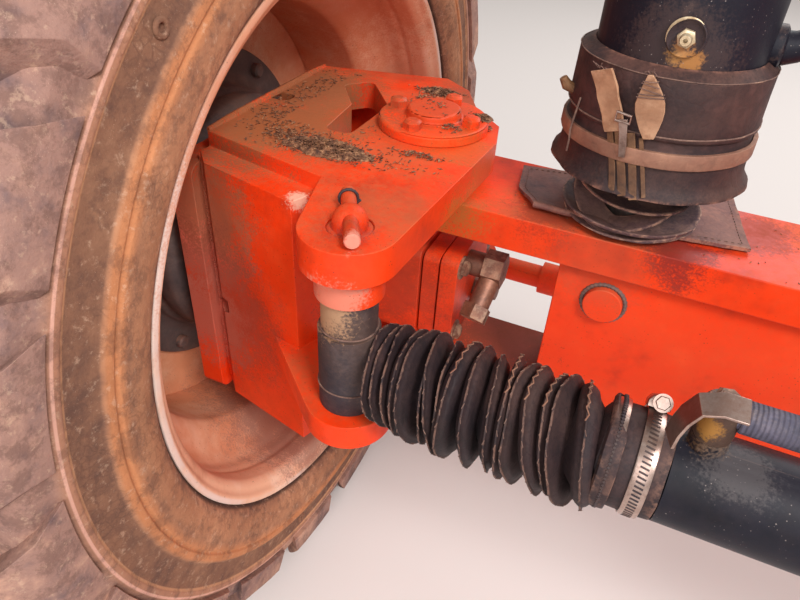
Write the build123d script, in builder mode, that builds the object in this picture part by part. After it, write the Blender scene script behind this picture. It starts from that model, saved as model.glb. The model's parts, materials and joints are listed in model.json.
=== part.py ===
"""Steered drive axle of a boom lift: two wheel ends on one oscillating beam.

Millimetres. The origin is the middle of the oscillation pivot bore, at the height of the
wheels' axis. +X runs along the axle to the right, +Y to the back and +Z up. Every piece of a
wheel end is drawn on the right, at positive X, and mirrored for the left.
"""
from build123d import *
import os
from math import acos, atan2, cos, hypot, pi, radians, sin

os.makedirs("parts", exist_ok=True)

# Clearances
SEAT_GAP = 0.3
RUN_GAP = 0.05
FACE_GAP = 0.5

# Where the wheel ends stand; insets run from one place towards the middle
WHEEL_X = 1065.0
KINGPIN_INSET = 271.5
HUB_PLATE_INSET = 83.5
STEER_PIN_INSET = 19.0
STEER_PIN_Y = -222.0
TIE_PIN_Y = 235.0
LOCKOUT_INSET = 213.5
CYLINDER_Z = 36.0

# Tyre
TYRE_R = 508.0
TYRE_HALF = 177.5
LUG_DEPTH = 30.0
LUG_COUNT = 20
BEAD_DEPTH = 124.0
RIDGE_DEPTH = 75.0
SHOULDER_INSET = 14.0
SHOULDER_SLOPE = 42.0
SHOULDER_WIDTH = 30.0

# Rim
LIP_R = 335.0
LIP_THICK = 9.0
RIM_HALF = 165.5
SEAT_R = 318.0
WELL_R = 273.0
RIM_WALL = 8.0
FLANGE_WIDTH = 12.0
SEAT_WIDTH = 54.0
WELL_SLOPE = 42.0
HUB_SIDE_SLOPE = 16.0
DISC_OFFSET = 34.5
DISC_THICK = 14.0

# Wheel drive
FLANGE_R = 204.0
FLANGE_THICK = 10.0
DRUM_R = 155.0
DRUM_CHAMFER = 8.0
COVER_R = 120.0
COVER_LENGTH = 82.0
COVER_CHAMFER = 14.0
COVER_FACE_R = 98.0
CENTRE_CAP_R = 46.0
CENTRE_CAP_PROUD = 5.0
SHAFT_R = 70.0
SHAFT_END_GAP = 4.0
COVER_WALL = 24.0
SPINDLE_R = 118.0
SPINDLE_THICK = 20.0
DRUM_GAP = 2.0

# Knuckle
PLATE_TOP = 176.0
PLATE_THICK = 32.0
HUB_PLATE_THICK = 28.0
HUB_PLATE_HALF = 160.0
HUB_PLATE_TOP = 150.0
HUB_PLATE_CORNER = 14.0
SIDE_TOP = 160.0
ARM_R = 42.0
LUG_PLATE_TOP = -10.0
LUG_PLATE_THICK = 28.0
COLLAR_R = 30.0
COLLAR_DROP = 30.0
TIE_ARM_R = 40.0
SLOT_CORNER = 9.0
NOTCH_FRONT = -20.0
NOTCH_BACK = 2.0
NOTCH_DEPTH = 24.0
SCALLOP_Y = -152.0
SCALLOP_Z = -9.0
SCALLOP_R = 14.0
SCALLOP_LENGTH = 27.0

# Kingpins
KINGPIN_R = 32.0
KINGPIN_REACH = 4.0
CAP_R = 57.0
CAP_THICK = 11.0
CAP_EDGE = 2.0
CAP_HEAD_R = 28.0
CAP_HEAD = 20.0

# Drive motor
MOTOR_LENGTH = 250.5
MOTOR_HALF = 58.0
MOTOR_CORNER = 10.0
MOTOR_CORE_R = 50.0
MOTOR_FLANGE_HALF = 78.0
MOTOR_FLANGE_THICK = 20.0
MOTOR_FLANGE_CORNER = 12.0
MOTOR_BLOCKS = ((0.0, 20.0, 0.0), (22.0, 41.0, 3.0), (43.0, 140.0, 0.0), (143.0, 214.0, 5.0))
PORT_Y = -20.0
PORT_Z = 38.0
PORT_R = 14.0
PORT_LENGTH = 31.0
PORT_HEX_R = 20.0
PORT_HEX_LENGTH = 22.0
BRANCH_END = (5.0, -52.0, 6.0)
BRANCH_R = 12.0
BRANCH_HEX_R = 16.0
BRANCH_HEX_LENGTH = 16.0
CAPPED_Y = 26.0
CAPPED_Z = -24.0
CAPPED_HEX_R = 16.0
CAPPED_R = 11.0
CAPPED_LENGTH = 14.0

# Steering pin
STEER_PIN_R = 19.0
PIN_DOME = 18.0
PIN_SHOULDER = 10.0
PIN_DOME_R = 12.0
CROSS_ROD_R = 8.0
CROSS_ROD_HALF = 32.0
CROSS_ROD_ROUND = 4.0
CROSS_ROD_TURN = 24.0
STUB_HEAD_R = 25.0
STUB_HEAD = 6.0

# Steering cylinder
ROD_R = 18.0
EYE_R = 28.0
EYE_TOP = 77.0
SPACER_R = 25.0
PISTON_X = 330.0
PISTON_LENGTH = 30.0
BARREL_R = 41.0
BARREL_WALL = 8.0
BARREL_INSET = 276.5
HEAD_LENGTH = 18.0
GLAND_R = 37.0
GLAND_LENGTH = 47.0
GAITER_INSET = 30.0
GAITER_R = 47.0
GAITER_EYE_R = 40.5
GAITER_BORE_R = 22.0
CUFF_R = 42.0
CUFF_LENGTH = 48.0
BAND_PROUD = 2.0
BANDS = ((10.0, 14.0), (36.0, 10.0))
BARREL_BASE_X = 110.0
BASE_EYE_R = 32.0
BASE_EYE_HALF = 34.0
BASE_NECK_R = 24.0
BASE_NECK_LENGTH = 14.0
BASE_WALL = 16.0
BASE_PIN_R = 16.0
BASE_PIN_HEAD_R = 24.0
BASE_PIN_HEAD = 10.0
BOSS_INSET = 20.0
PORT_BOSS_R = 14.0
PORT_BOSS_PROUD = 10.0
HOSE_R = 8.0
HOSE_RISE = 24.0
HOSE_BEND = 18.0

# Axle beam
BEAM_HALF = 64.0
BEAM_TOP = 130.0
BEAM_THICK = 37.0
BOX_INSET = 164.0
BOX_HALF = 54.0
RIB_THICK = 10.0
RIB_DROP = 40.0
RIB_OVERHANG = 50.0
BORE_R = 45.0
BUSH_R = 38.0
BUSH_HALF = 82.0
BOSS_R = 75.0
PLUG_R = 19.0
PLUG_PROUD = 8.0
PLUG_Z = 57.0

# Bracket of the two steering cylinders
LEAF_THICK = 20.0
LEAF_REACH = 36.0
LEAF_ROOT = 40.0
LEAF_TIP = 34.0
BOSS_CLEAR = 10.0
WEB_WIDTH = 70.0
WEB_DEPTH = 60.0
WEB_Y = -200.0

# Lockout cylinder
LOCK_BARREL_R = 68.5
LOCK_BORE_R = 56.0
LOCK_ROD_R = 30.0
LOCK_BOTTOM = 196.0
LOCK_HEAD = 36.0
LOCK_TOP = 520.0
LOCK_ROOF = 20.0
LOCK_TRAVEL_GAP = 6.0
LOCK_PISTON = 40.0
LOCK_FLANGE = 190.0
LOCK_FLANGE_THICK = 22.0
LOCK_FLANGE_CORNER = 18.0
LOCK_BOLTS = 140.0
LOCK_BOLT_R = 9.0
BLEED_Z = 314.0
BLEED_R = 18.5
BLEED_PROUD = 8.0
NIPPLE_R = 8.0
NIPPLE_PROUD = 20.0
ELBOW_Y = 6.0
ELBOW_Z = 300.0
ELBOW_R = 15.0
ELBOW_PROUD = 40.0

# Boot and mat of the lockout cylinder
BOOT_BOTTOM = 186.0
BOOT_TOP = 284.0
BOOT_FLARE_R = 91.0
BOOT_R = 85.0
BOOT_LIP = 18.0
BOOT_SHOULDER = 12.0
DISC_BOOT_R = 62.5
DISC_TOP = 180.0
DISC_LAYERS = ((14.0, 0.0, 6.0), (30.0, 3.0, 2.0))
MAT_THICK = 4.0
MAT_LENGTH = 220.0
MAT_WIDTH = 112.0
MAT_CORNER = 8.0
MAT_SHIFT_X = 6.0
MAT_SHIFT_Y = 12.0
MAT_TURN = -10.0

# Tie rod
TIE_ROD_R = 17.0
TIE_TUBE_R = 24.0
TIE_TUBE_INSET = 110.0
TIE_EYE_R = 34.0
TIE_EYE_THICK = 36.0
TIE_PIN_R = 15.0
TIE_HEAD_R = 24.0
TIE_HEAD = 14.0
TIE_NUT_R = 23.0
TIE_NUT = 10.0

# Worked out from the sizes above
KINGPIN_X = WHEEL_X - KINGPIN_INSET
HUB_PLATE_IN = WHEEL_X - HUB_PLATE_INSET
HUB_FACE_X = HUB_PLATE_IN + HUB_PLATE_THICK
STEER_PIN_X = KINGPIN_X - STEER_PIN_INSET
LOCKOUT_X = KINGPIN_X - LOCKOUT_INSET
BOX_END_X = KINGPIN_X - BOX_INSET
MOTOR_END_X = HUB_PLATE_IN - MOTOR_LENGTH
BARREL_MOUTH_X = STEER_PIN_X - BARREL_INSET
GLAND_END_X = BARREL_MOUTH_X + GLAND_LENGTH
GAITER_END_X = STEER_PIN_X - GAITER_INSET
BARREL_BASE_END_X = BARREL_BASE_X + BASE_EYE_R + BASE_NECK_LENGTH
BARREL_BORE_R = BARREL_R - BARREL_WALL
BOSS_PLACES = (BARREL_MOUTH_X - BOSS_INSET, BARREL_BASE_END_X + BOSS_INSET)
BOSS_TOP = CYLINDER_Z + BARREL_R + PORT_BOSS_PROUD
BEAD_R = TYRE_R - BEAD_DEPTH
RIDGE_R = TYRE_R - RIDGE_DEPTH
DISC_X = WHEEL_X + DISC_OFFSET
FLANGE_X = DISC_X - FLANGE_THICK
COVER_END_X = DISC_X + COVER_LENGTH
PLATE_UNDER = PLATE_TOP - PLATE_THICK
BEAM_UNDER = BEAM_TOP - BEAM_THICK
LUG_PLATE_UNDER = LUG_PLATE_TOP - LUG_PLATE_THICK
COLLAR_UNDER = PLATE_UNDER - COLLAR_DROP
LEAF_LOW = CYLINDER_Z - BASE_EYE_HALF - FACE_GAP - LEAF_THICK
LEAF_HIGH = CYLINDER_Z + BASE_EYE_HALF + FACE_GAP
STEER_PIN = (STEER_PIN_X, STEER_PIN_Y)
TIE_PIN = (KINGPIN_X, TIE_PIN_Y)
BASE_PIN = (BARREL_BASE_X, STEER_PIN_Y)
LOCKOUT = (LOCKOUT_X, 0)
KINGPIN = (KINGPIN_X, 0)

# Outlines of the knuckle's plates, from the hub plate or the kingpin
HUB_EDGE_X = HUB_PLATE_IN - 19.5
TOP_FRONT = [(HUB_PLATE_IN, -128), (HUB_EDGE_X, -132), (KINGPIN_X + 43, -159)]
NOSE = (KINGPIN_X - 72, -9)
TOP_BACK = [
    (KINGPIN_X - 61.5, 34), (KINGPIN_X - 24, 71), (KINGPIN_X + 2, 120), (KINGPIN_X + 39, 147),
    (HUB_EDGE_X, 112), (HUB_PLATE_IN, 108),
]
BOTTOM_BACK = [(KINGPIN_X + 76.5, 137), (HUB_EDGE_X, 112), (HUB_PLATE_IN, 108)]
BOTTOM_NOSE = [(KINGPIN_X - 33.5, -80), NOSE, (KINGPIN_X - 71.5, 30)]
FRONT_SIDE = [
    (HUB_PLATE_IN, -142), (HUB_EDGE_X, -162), (KINGPIN_X + 57, -188),
    (KINGPIN_X + 44.5, -152), (HUB_EDGE_X, -124), (HUB_PLATE_IN, -120),
]
BACK_SIDE = [
    (HUB_PLATE_IN, 122), (HUB_EDGE_X, 142), (KINGPIN_X + 57, 176),
    (KINGPIN_X + 44.5, 138), (HUB_EDGE_X, 104), (HUB_PLATE_IN, 100),
]
LUG_ROOT = [(KINGPIN_X + 48.5, -156), (KINGPIN_X + 111, -162)]
SLOT = [
    (KINGPIN_X + 64, -64), (KINGPIN_X + 64, 26), (KINGPIN_X + 112, 88), (KINGPIN_X + 136, 60),
    (KINGPIN_X + 100, 10), (KINGPIN_X + 92, -64),
]

# Plan of a tread bar: across as a share of half the tyre, along as a share of the pitch
LUG_PLAN = [
    (-0.29, -0.65), (0.5, -0.65), (1.0, -0.09), (1.0, 0.65), (0.4, -0.02), (0.4, -0.27), (-0.29, -0.27),
]


def turn_x(outline, y=0.0, z=0.0, mode=Mode.ADD):
    """Turn a closed outline of (x, radius) points about a line along X."""
    with BuildSketch(Plane(origin=(0, y, z), x_dir=(1, 0, 0), z_dir=(0, 0, 1))) as section:
        with BuildLine():
            Polyline(*outline, close=True)
        make_face()
    revolve(section.sketch, axis=Axis((0, y, z), (1, 0, 0)), mode=mode)


def turn_z(outline, x=0.0, y=0.0, mode=Mode.ADD):
    """Turn a closed outline of (radius, z) points about an upright line."""
    with BuildSketch(Plane(origin=(x, y, 0), x_dir=(1, 0, 0), z_dir=(0, -1, 0))) as section:
        with BuildLine():
            Polyline(*outline, close=True)
        make_face()
    revolve(section.sketch, axis=Axis((x, y, 0), (0, 0, 1)), mode=mode)


def upright(centre, radius, bottom, top, mode=Mode.ADD):
    """Add or cut an upright cylinder between two heights."""
    with BuildSketch(Plane.XY.offset(bottom)) as section:
        with Locations(centre):
            Circle(radius)
    extrude(section.sketch, amount=top - bottom, mode=mode)


def along_x(y, z, radius, start, end, mode=Mode.ADD):
    """Add or cut a cylinder along X between two places."""
    with BuildSketch(Plane.YZ.offset(start)) as section:
        with Locations((y, z)):
            Circle(radius)
    extrude(section.sketch, amount=end - start, mode=mode)


def hexagon_x(y, z, corner_r, start, end):
    """Add a hexagon bar along X between two places."""
    with BuildSketch(Plane.YZ.offset(start)) as section:
        with Locations((y, z)):
            RegularPolygon(corner_r, 6)
    extrude(section.sketch, amount=end - start)


def square_x(half, corner, start, end):
    """Add a square bar with rounded corners along the X axis."""
    with BuildSketch(Plane.YZ.offset(start)) as section:
        RectangleRounded(2 * half, 2 * half, corner)
    extrude(section.sketch, amount=end - start)


def from_front(x, z, radius, face_y, length, mode=Mode.ADD):
    """Add or cut a cylinder that runs backwards from face_y."""
    with BuildSketch(Plane(origin=(x, face_y, z), x_dir=(1, 0, 0), z_dir=(0, 1, 0))) as section:
        Circle(radius)
    extrude(section.sketch, amount=length, mode=mode)


def plate(outline, bottom, top, corner=0.0, mode=Mode.ADD):
    """Extrude a flat outline, with all of its corners rounded where a radius is given."""
    with BuildSketch(Plane.XY.offset(bottom)) as section:
        with BuildLine():
            Polyline(*outline, close=True)
        make_face()
        if corner:
            fillet(section.vertices(), corner)
    extrude(section.sketch, amount=top - bottom, mode=mode)


def touch_point(centre, radius, outside, side):
    """Where a line from a point outside a circle touches it; side is +1 or -1."""
    dx = outside[0] - centre[0]
    dy = outside[1] - centre[1]
    angle = atan2(dy, dx) + side * acos(radius / hypot(dx, dy))
    return (centre[0] + radius * cos(angle), centre[1] + radius * sin(angle))


def round_ended(chain, centre, radius, bottom, top):
    """Extrude a plate whose outline runs along a chain of points and round an eye's end."""
    first = touch_point(centre, radius, chain[0], 1)
    last = touch_point(centre, radius, chain[-1], -1)
    inward_x = (chain[0][0] + chain[-1][0]) / 2 - centre[0]
    inward_y = (chain[0][1] + chain[-1][1]) / 2 - centre[1]
    shrink = radius / hypot(inward_x, inward_y)
    tip = (centre[0] - shrink * inward_x, centre[1] - shrink * inward_y)
    with BuildSketch(Plane.XY.offset(bottom)) as section:
        with BuildLine():
            Polyline(first, *chain, last)
            ThreePointArc(last, tip, first)
        make_face()
    extrude(section.sketch, amount=top - bottom)


def make_tread_bar():
    """One flat-sided bar, drawn at the top of the tyre and centred on its own length."""
    pitch = 2 * pi * TYRE_R / LUG_COUNT
    plan = [(across * TYRE_HALF, along * pitch) for across, along in LUG_PLAN]
    inner = LUG_PLAN[0][0] * TYRE_HALF
    foot = RIDGE_R - 3
    side_view = [
        (inner, foot), (TYRE_HALF, foot), (TYRE_HALF, TYRE_R - SHOULDER_SLOPE),
        (TYRE_HALF - SHOULDER_WIDTH, TYRE_R), (TYRE_HALF - SHOULDER_WIDTH, TYRE_R + SEAT_GAP),
        (inner, TYRE_R + SEAT_GAP),
    ]
    with BuildPart() as bar:
        plate(plan, foot, TYRE_R + SEAT_GAP)
        with BuildSketch(Plane.XZ) as section:
            with BuildLine():
                Polyline(*side_view, close=True)
            make_face()
        extrude(section.sketch, amount=pitch, both=True, mode=Mode.INTERSECT)
        with BuildSketch(Plane.YZ.offset(inner)) as ring:
            RegularPolygon(TYRE_R, 2 * LUG_COUNT, rotation=90 - 90 / LUG_COUNT)
        extrude(ring.sketch, amount=2 * TYRE_HALF, mode=Mode.INTERSECT)
    return bar.part


def make_tyre():
    wall = TYRE_HALF - SHOULDER_INSET
    crown_r = TYRE_R - LUG_DEPTH
    flank = [
        (RIM_HALF - FLANGE_WIDTH - 1, SEAT_R + SEAT_GAP), (RIM_HALF, LIP_R + 1), (TYRE_HALF, BEAD_R),
        (wall, RIDGE_R),
    ]
    bar = make_tread_bar()
    step = 360.0 / LUG_COUNT
    with BuildPart() as tyre:
        turn_x(flank + [(-x, r) for x, r in reversed(flank)])
        with BuildSketch(Plane.YZ.offset(-wall)) as crown:
            RegularPolygon(crown_r, 2 * LUG_COUNT)
            Circle(RIDGE_R - LUG_DEPTH, mode=Mode.SUBTRACT)
        extrude(crown.sketch, amount=2 * wall)
        for number in range(LUG_COUNT):
            add(bar.rotate(Axis.X, number * step))
            add(mirror(bar, about=Plane.YZ, mode=Mode.PRIVATE).rotate(Axis.X, (number + 0.5) * step))
    with BuildPart() as placed:
        add(tyre.part.moved(Location((WHEEL_X, 0, 0))))
    return placed


def make_rim():
    inner = WHEEL_X - RIM_HALF
    outer = WHEEL_X + RIM_HALF
    under_seat = SEAT_R - RIM_WALL
    under_well = WELL_R - RIM_WALL
    lip_under = LIP_R - LIP_THICK
    seat_end = FLANGE_WIDTH + SEAT_WIDTH
    section = [
        (inner, LIP_R), (inner, lip_under), (inner + FLANGE_WIDTH + 2, under_seat),
        (inner + seat_end - 4, under_seat),
        (inner + seat_end - 4 + WELL_SLOPE, under_well), (outer - seat_end - HUB_SIDE_SLOPE + 6, under_well),
        (outer - seat_end + 6, under_seat), (outer - FLANGE_WIDTH - 2, under_seat), (outer, lip_under),
        (outer, LIP_R), (outer - FLANGE_WIDTH, SEAT_R), (outer - seat_end + 2, SEAT_R),
        (outer - seat_end + 2 - HUB_SIDE_SLOPE, WELL_R), (inner + seat_end + WELL_SLOPE, WELL_R),
        (inner + seat_end, SEAT_R), (inner + FLANGE_WIDTH, SEAT_R),
    ]
    with BuildPart() as rim:
        turn_x(section)
        along_x(0, 0, under_well + 1, DISC_X, DISC_X + DISC_THICK)
        along_x(0, 0, COVER_R + SEAT_GAP, DISC_X - 1, DISC_X + DISC_THICK + 1, mode=Mode.SUBTRACT)
    return rim


def make_hub():
    start = HUB_FACE_X + SPINDLE_THICK + DRUM_GAP
    end = COVER_END_X
    inside = SHAFT_R + RUN_GAP
    section = [
        (start, inside), (start, DRUM_R - DRUM_CHAMFER), (start + DRUM_CHAMFER, DRUM_R), (FLANGE_X, DRUM_R),
        (FLANGE_X, FLANGE_R), (DISC_X, FLANGE_R), (DISC_X, COVER_R),
        (end - CENTRE_CAP_PROUD - COVER_CHAMFER, COVER_R),
        (end - CENTRE_CAP_PROUD, COVER_FACE_R), (end - CENTRE_CAP_PROUD, CENTRE_CAP_R),
        (end, CENTRE_CAP_R - CENTRE_CAP_PROUD), (end, 0), (end - COVER_WALL, 0), (end - COVER_WALL, inside),
    ]
    with BuildPart() as hub:
        turn_x(section)
    return hub


def make_spindle():
    end = COVER_END_X - COVER_WALL - SHAFT_END_GAP
    section = [
        (HUB_FACE_X, 0), (HUB_FACE_X, SPINDLE_R), (HUB_FACE_X + SPINDLE_THICK, SPINDLE_R),
        (HUB_FACE_X + SPINDLE_THICK, SHAFT_R), (end, SHAFT_R), (end, 0),
    ]
    with BuildPart() as spindle:
        turn_x(section)
    return spindle


def make_knuckle():
    with BuildPart() as knuckle:
        round_ended([NOSE] + TOP_BACK + TOP_FRONT, STEER_PIN, ARM_R, PLATE_UNDER, PLATE_TOP)
        round_ended(BOTTOM_BACK + TOP_FRONT + BOTTOM_NOSE, TIE_PIN, TIE_ARM_R, -PLATE_TOP, -PLATE_UNDER)
        round_ended(LUG_ROOT, STEER_PIN, ARM_R, LUG_PLATE_UNDER, LUG_PLATE_TOP)
        upright(STEER_PIN, COLLAR_R, COLLAR_UNDER, PLATE_UNDER)
        plate(FRONT_SIDE, -PLATE_UNDER, SIDE_TOP)
        plate(BACK_SIDE, -PLATE_UNDER, SIDE_TOP)
        with BuildSketch(Plane.YZ.offset(HUB_PLATE_IN)) as hub_plate:
            RectangleRounded(2 * HUB_PLATE_HALF, 2 * HUB_PLATE_TOP, HUB_PLATE_CORNER)
        extrude(hub_plate.sketch, amount=HUB_PLATE_THICK)
        plate(SLOT, PLATE_UNDER, PLATE_TOP, SLOT_CORNER, mode=Mode.SUBTRACT)
        with BuildSketch(Plane.XY.offset(HUB_PLATE_TOP)) as notch:
            with Locations((HUB_PLATE_IN, (NOTCH_FRONT + NOTCH_BACK) / 2)):
                RectangleRounded(2 * NOTCH_DEPTH, NOTCH_BACK - NOTCH_FRONT, SLOT_CORNER)
        extrude(notch.sketch, amount=PLATE_TOP - HUB_PLATE_TOP, mode=Mode.SUBTRACT)
        scallop_x = HUB_PLATE_IN - SCALLOP_LENGTH
        along_x(SCALLOP_Y, SCALLOP_Z, SCALLOP_R, scallop_x, HUB_PLATE_IN, mode=Mode.SUBTRACT)
        along_x(0, 0, SHAFT_R, HUB_PLATE_IN, HUB_FACE_X, mode=Mode.SUBTRACT)
        for low, high in ((PLATE_UNDER, PLATE_TOP), (-PLATE_TOP, -PLATE_UNDER)):
            upright(KINGPIN, KINGPIN_R, low, high, mode=Mode.SUBTRACT)
        upright(STEER_PIN, STEER_PIN_R, COLLAR_UNDER, PLATE_TOP, mode=Mode.SUBTRACT)
        upright(STEER_PIN, STEER_PIN_R, LUG_PLATE_UNDER, LUG_PLATE_TOP, mode=Mode.SUBTRACT)
        upright(TIE_PIN, TIE_PIN_R, -PLATE_TOP, -PLATE_UNDER, mode=Mode.SUBTRACT)
    return knuckle


def make_kingpins():
    inner = BEAM_UNDER - KINGPIN_REACH
    cap_top = PLATE_TOP + CAP_THICK
    head_top = PLATE_TOP + CAP_HEAD
    section = [
        (0, inner), (KINGPIN_R, inner), (KINGPIN_R, PLATE_TOP), (CAP_R, PLATE_TOP),
        (CAP_R, cap_top - CAP_EDGE),
        (CAP_R - CAP_EDGE, cap_top), (CAP_HEAD_R + CAP_EDGE, cap_top), (CAP_HEAD_R, cap_top + CAP_EDGE),
        (CAP_HEAD_R, head_top - CAP_EDGE), (CAP_HEAD_R - CAP_EDGE, head_top), (0, head_top),
    ]
    with BuildPart() as kingpins:
        turn_z(section, *KINGPIN)
        mirror(kingpins.part, about=Plane.XY)
    return kingpins


def make_drive_motor():
    flange_x = HUB_PLATE_IN - MOTOR_FLANGE_THICK
    with BuildPart() as drive_motor:
        square_x(MOTOR_FLANGE_HALF, MOTOR_FLANGE_CORNER, flange_x, HUB_PLATE_IN)
        along_x(0, 0, SHAFT_R - SEAT_GAP, HUB_PLATE_IN, HUB_FACE_X)
        along_x(0, 0, MOTOR_CORE_R, MOTOR_END_X + MOTOR_CORNER, flange_x)
        for start, end, drawn_in in MOTOR_BLOCKS:
            square_x(MOTOR_HALF - drawn_in, MOTOR_CORNER, MOTOR_END_X + start, MOTOR_END_X + end)
    return drive_motor


def make_motor_fittings():
    port_end = MOTOR_END_X - PORT_LENGTH
    start = Vector(port_end, PORT_Y, PORT_Z)
    end = Vector(port_end + BRANCH_END[0], BRANCH_END[1], BRANCH_END[2])
    run = end - start
    with BuildPart() as motor_fittings:
        along_x(PORT_Y, PORT_Z, PORT_R, port_end, MOTOR_END_X)
        hexagon_x(PORT_Y, PORT_Z, PORT_HEX_R, port_end - PORT_HEX_LENGTH / 2, port_end + PORT_HEX_LENGTH / 2)
        with BuildSketch(Plane(origin=start, z_dir=run)) as branch:
            Circle(BRANCH_R)
        extrude(branch.sketch, amount=run.length)
        with BuildSketch(Plane(origin=end, z_dir=run)) as branch_end:
            RegularPolygon(BRANCH_HEX_R, 6)
        extrude(branch_end.sketch, amount=BRANCH_HEX_LENGTH)
        hexagon_x(CAPPED_Y, CAPPED_Z, CAPPED_HEX_R, MOTOR_END_X - CAPPED_LENGTH, MOTOR_END_X)
        along_x(CAPPED_Y, CAPPED_Z, CAPPED_R, MOTOR_END_X - 2 * CAPPED_LENGTH, MOTOR_END_X - CAPPED_LENGTH)
    return motor_fittings


def make_steer_pin():
    shoulder = PLATE_TOP + PIN_SHOULDER
    section = [
        (0, COLLAR_UNDER + FACE_GAP), (STEER_PIN_R, COLLAR_UNDER + FACE_GAP), (STEER_PIN_R, shoulder),
        (PIN_DOME_R, PLATE_TOP + PIN_DOME), (0, PLATE_TOP + PIN_DOME),
    ]
    stub = [
        (0, LUG_PLATE_UNDER - STUB_HEAD), (STUB_HEAD_R, LUG_PLATE_UNDER - STUB_HEAD),
        (STUB_HEAD_R, LUG_PLATE_UNDER),
        (STEER_PIN_R, LUG_PLATE_UNDER), (STEER_PIN_R, LUG_PLATE_TOP), (0, LUG_PLATE_TOP),
    ]
    turn = radians(CROSS_ROD_TURN)
    with BuildPart() as steer_pin:
        with BuildSketch(Plane(origin=(*STEER_PIN, shoulder), z_dir=(sin(turn), cos(turn), 0))) as rod:
            Circle(CROSS_ROD_R)
        extrude(rod.sketch, amount=CROSS_ROD_HALF, both=True)
        fillet(steer_pin.edges().filter_by(GeomType.CIRCLE), CROSS_ROD_ROUND)
        turn_z(section, *STEER_PIN)
        turn_z(stub, *STEER_PIN)
    return steer_pin


def make_steer_rod():
    low = LUG_PLATE_TOP + FACE_GAP
    high = COLLAR_UNDER - FACE_GAP
    section = [
        (0, low), (EYE_R, low), (EYE_R, EYE_TOP), (SPACER_R, EYE_TOP), (SPACER_R, high), (0, high),
    ]
    with BuildPart() as steer_rod:
        turn_z(section, *STEER_PIN)
        along_x(STEER_PIN_Y, CYLINDER_Z, ROD_R, PISTON_X, STEER_PIN_X)
        along_x(STEER_PIN_Y, CYLINDER_Z, BARREL_BORE_R - SEAT_GAP, PISTON_X, PISTON_X + PISTON_LENGTH)
    return steer_rod


def make_gaiter():
    start = BARREL_MOUTH_X + SEAT_GAP
    neck = BARREL_MOUTH_X + CUFF_LENGTH
    section = [
        (start, GLAND_R + SEAT_GAP), (start, CUFF_R), (neck, CUFF_R), (neck, GAITER_R),
        (GAITER_END_X, GAITER_EYE_R),
        (GAITER_END_X, GAITER_BORE_R), (neck, GAITER_BORE_R), (neck, GLAND_R + SEAT_GAP),
    ]
    with BuildPart() as gaiter:
        turn_x(section, STEER_PIN_Y, CYLINDER_Z)
    return gaiter


def make_steer_barrel():
    head = BARREL_MOUTH_X - HEAD_LENGTH
    inside = BARREL_BASE_END_X + BASE_WALL
    pin_hole = BASE_EYE_HALF + FACE_GAP
    bore = [
        (inside, 0), (inside, BARREL_BORE_R), (head, BARREL_BORE_R), (head, ROD_R + RUN_GAP),
        (GLAND_END_X, ROD_R + RUN_GAP), (GLAND_END_X, 0),
    ]
    with BuildPart() as steer_barrel:
        along_x(STEER_PIN_Y, CYLINDER_Z, BARREL_R, BARREL_BASE_END_X, BARREL_MOUTH_X)
        along_x(STEER_PIN_Y, CYLINDER_Z, GLAND_R, BARREL_MOUTH_X, GLAND_END_X)
        along_x(STEER_PIN_Y, CYLINDER_Z, BASE_NECK_R, BARREL_BASE_X, BARREL_BASE_END_X)
        upright(BASE_PIN, BASE_EYE_R, CYLINDER_Z - BASE_EYE_HALF, CYLINDER_Z + BASE_EYE_HALF)
        turn_x(bore, STEER_PIN_Y, CYLINDER_Z, mode=Mode.SUBTRACT)
        upright(BASE_PIN, BASE_PIN_R + RUN_GAP, CYLINDER_Z - pin_hole, CYLINDER_Z + pin_hole, mode=Mode.SUBTRACT)
        for x in BOSS_PLACES:
            upright((x, STEER_PIN_Y), PORT_BOSS_R, CYLINDER_Z + BARREL_BORE_R + BARREL_WALL / 2, BOSS_TOP)
    return steer_barrel


def make_gaiter_clamps():
    inside = CUFF_R + SEAT_GAP
    with BuildPart() as gaiter_clamps:
        for start, width in BANDS:
            band_x = BARREL_MOUTH_X + start
            along_x(STEER_PIN_Y, CYLINDER_Z, inside + BAND_PROUD, band_x, band_x + width)
            along_x(STEER_PIN_Y, CYLINDER_Z, inside, band_x, band_x + width, mode=Mode.SUBTRACT)
    return gaiter_clamps


def make_barrel_hose():
    start_x, end_x = BOSS_PLACES
    path_z = BOSS_TOP + HOSE_RISE
    with BuildPart() as barrel_hose:
        with BuildLine() as path:
            FilletPolyline(
                (start_x, STEER_PIN_Y, BOSS_TOP), (start_x, STEER_PIN_Y, path_z),
                (end_x, STEER_PIN_Y, path_z), (end_x, STEER_PIN_Y, BOSS_TOP), radius=HOSE_BEND)
        with BuildSketch(Plane(origin=(start_x, STEER_PIN_Y, BOSS_TOP), z_dir=(0, 0, 1))):
            Circle(HOSE_R)
        sweep(path=path.line)
    return barrel_hose


def make_lockout_barrel():
    with BuildPart() as lockout_barrel:
        upright(LOCKOUT, LOCK_BARREL_R, LOCK_BOTTOM, LOCK_TOP)
        with BuildSketch(Plane.XY.offset(LOCK_TOP)) as flange:
            with Locations(LOCKOUT):
                RectangleRounded(LOCK_FLANGE, LOCK_FLANGE, LOCK_FLANGE_CORNER)
                with GridLocations(LOCK_BOLTS, LOCK_BOLTS, 2, 2):
                    Circle(LOCK_BOLT_R, mode=Mode.SUBTRACT)
        extrude(flange.sketch, amount=LOCK_FLANGE_THICK)
        upright(LOCKOUT, LOCK_BORE_R, LOCK_BOTTOM + LOCK_HEAD, LOCK_TOP - LOCK_ROOF, mode=Mode.SUBTRACT)
        upright(LOCKOUT, LOCK_ROD_R + RUN_GAP, LOCK_BOTTOM, LOCK_BOTTOM + LOCK_HEAD, mode=Mode.SUBTRACT)
    return lockout_barrel


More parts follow.
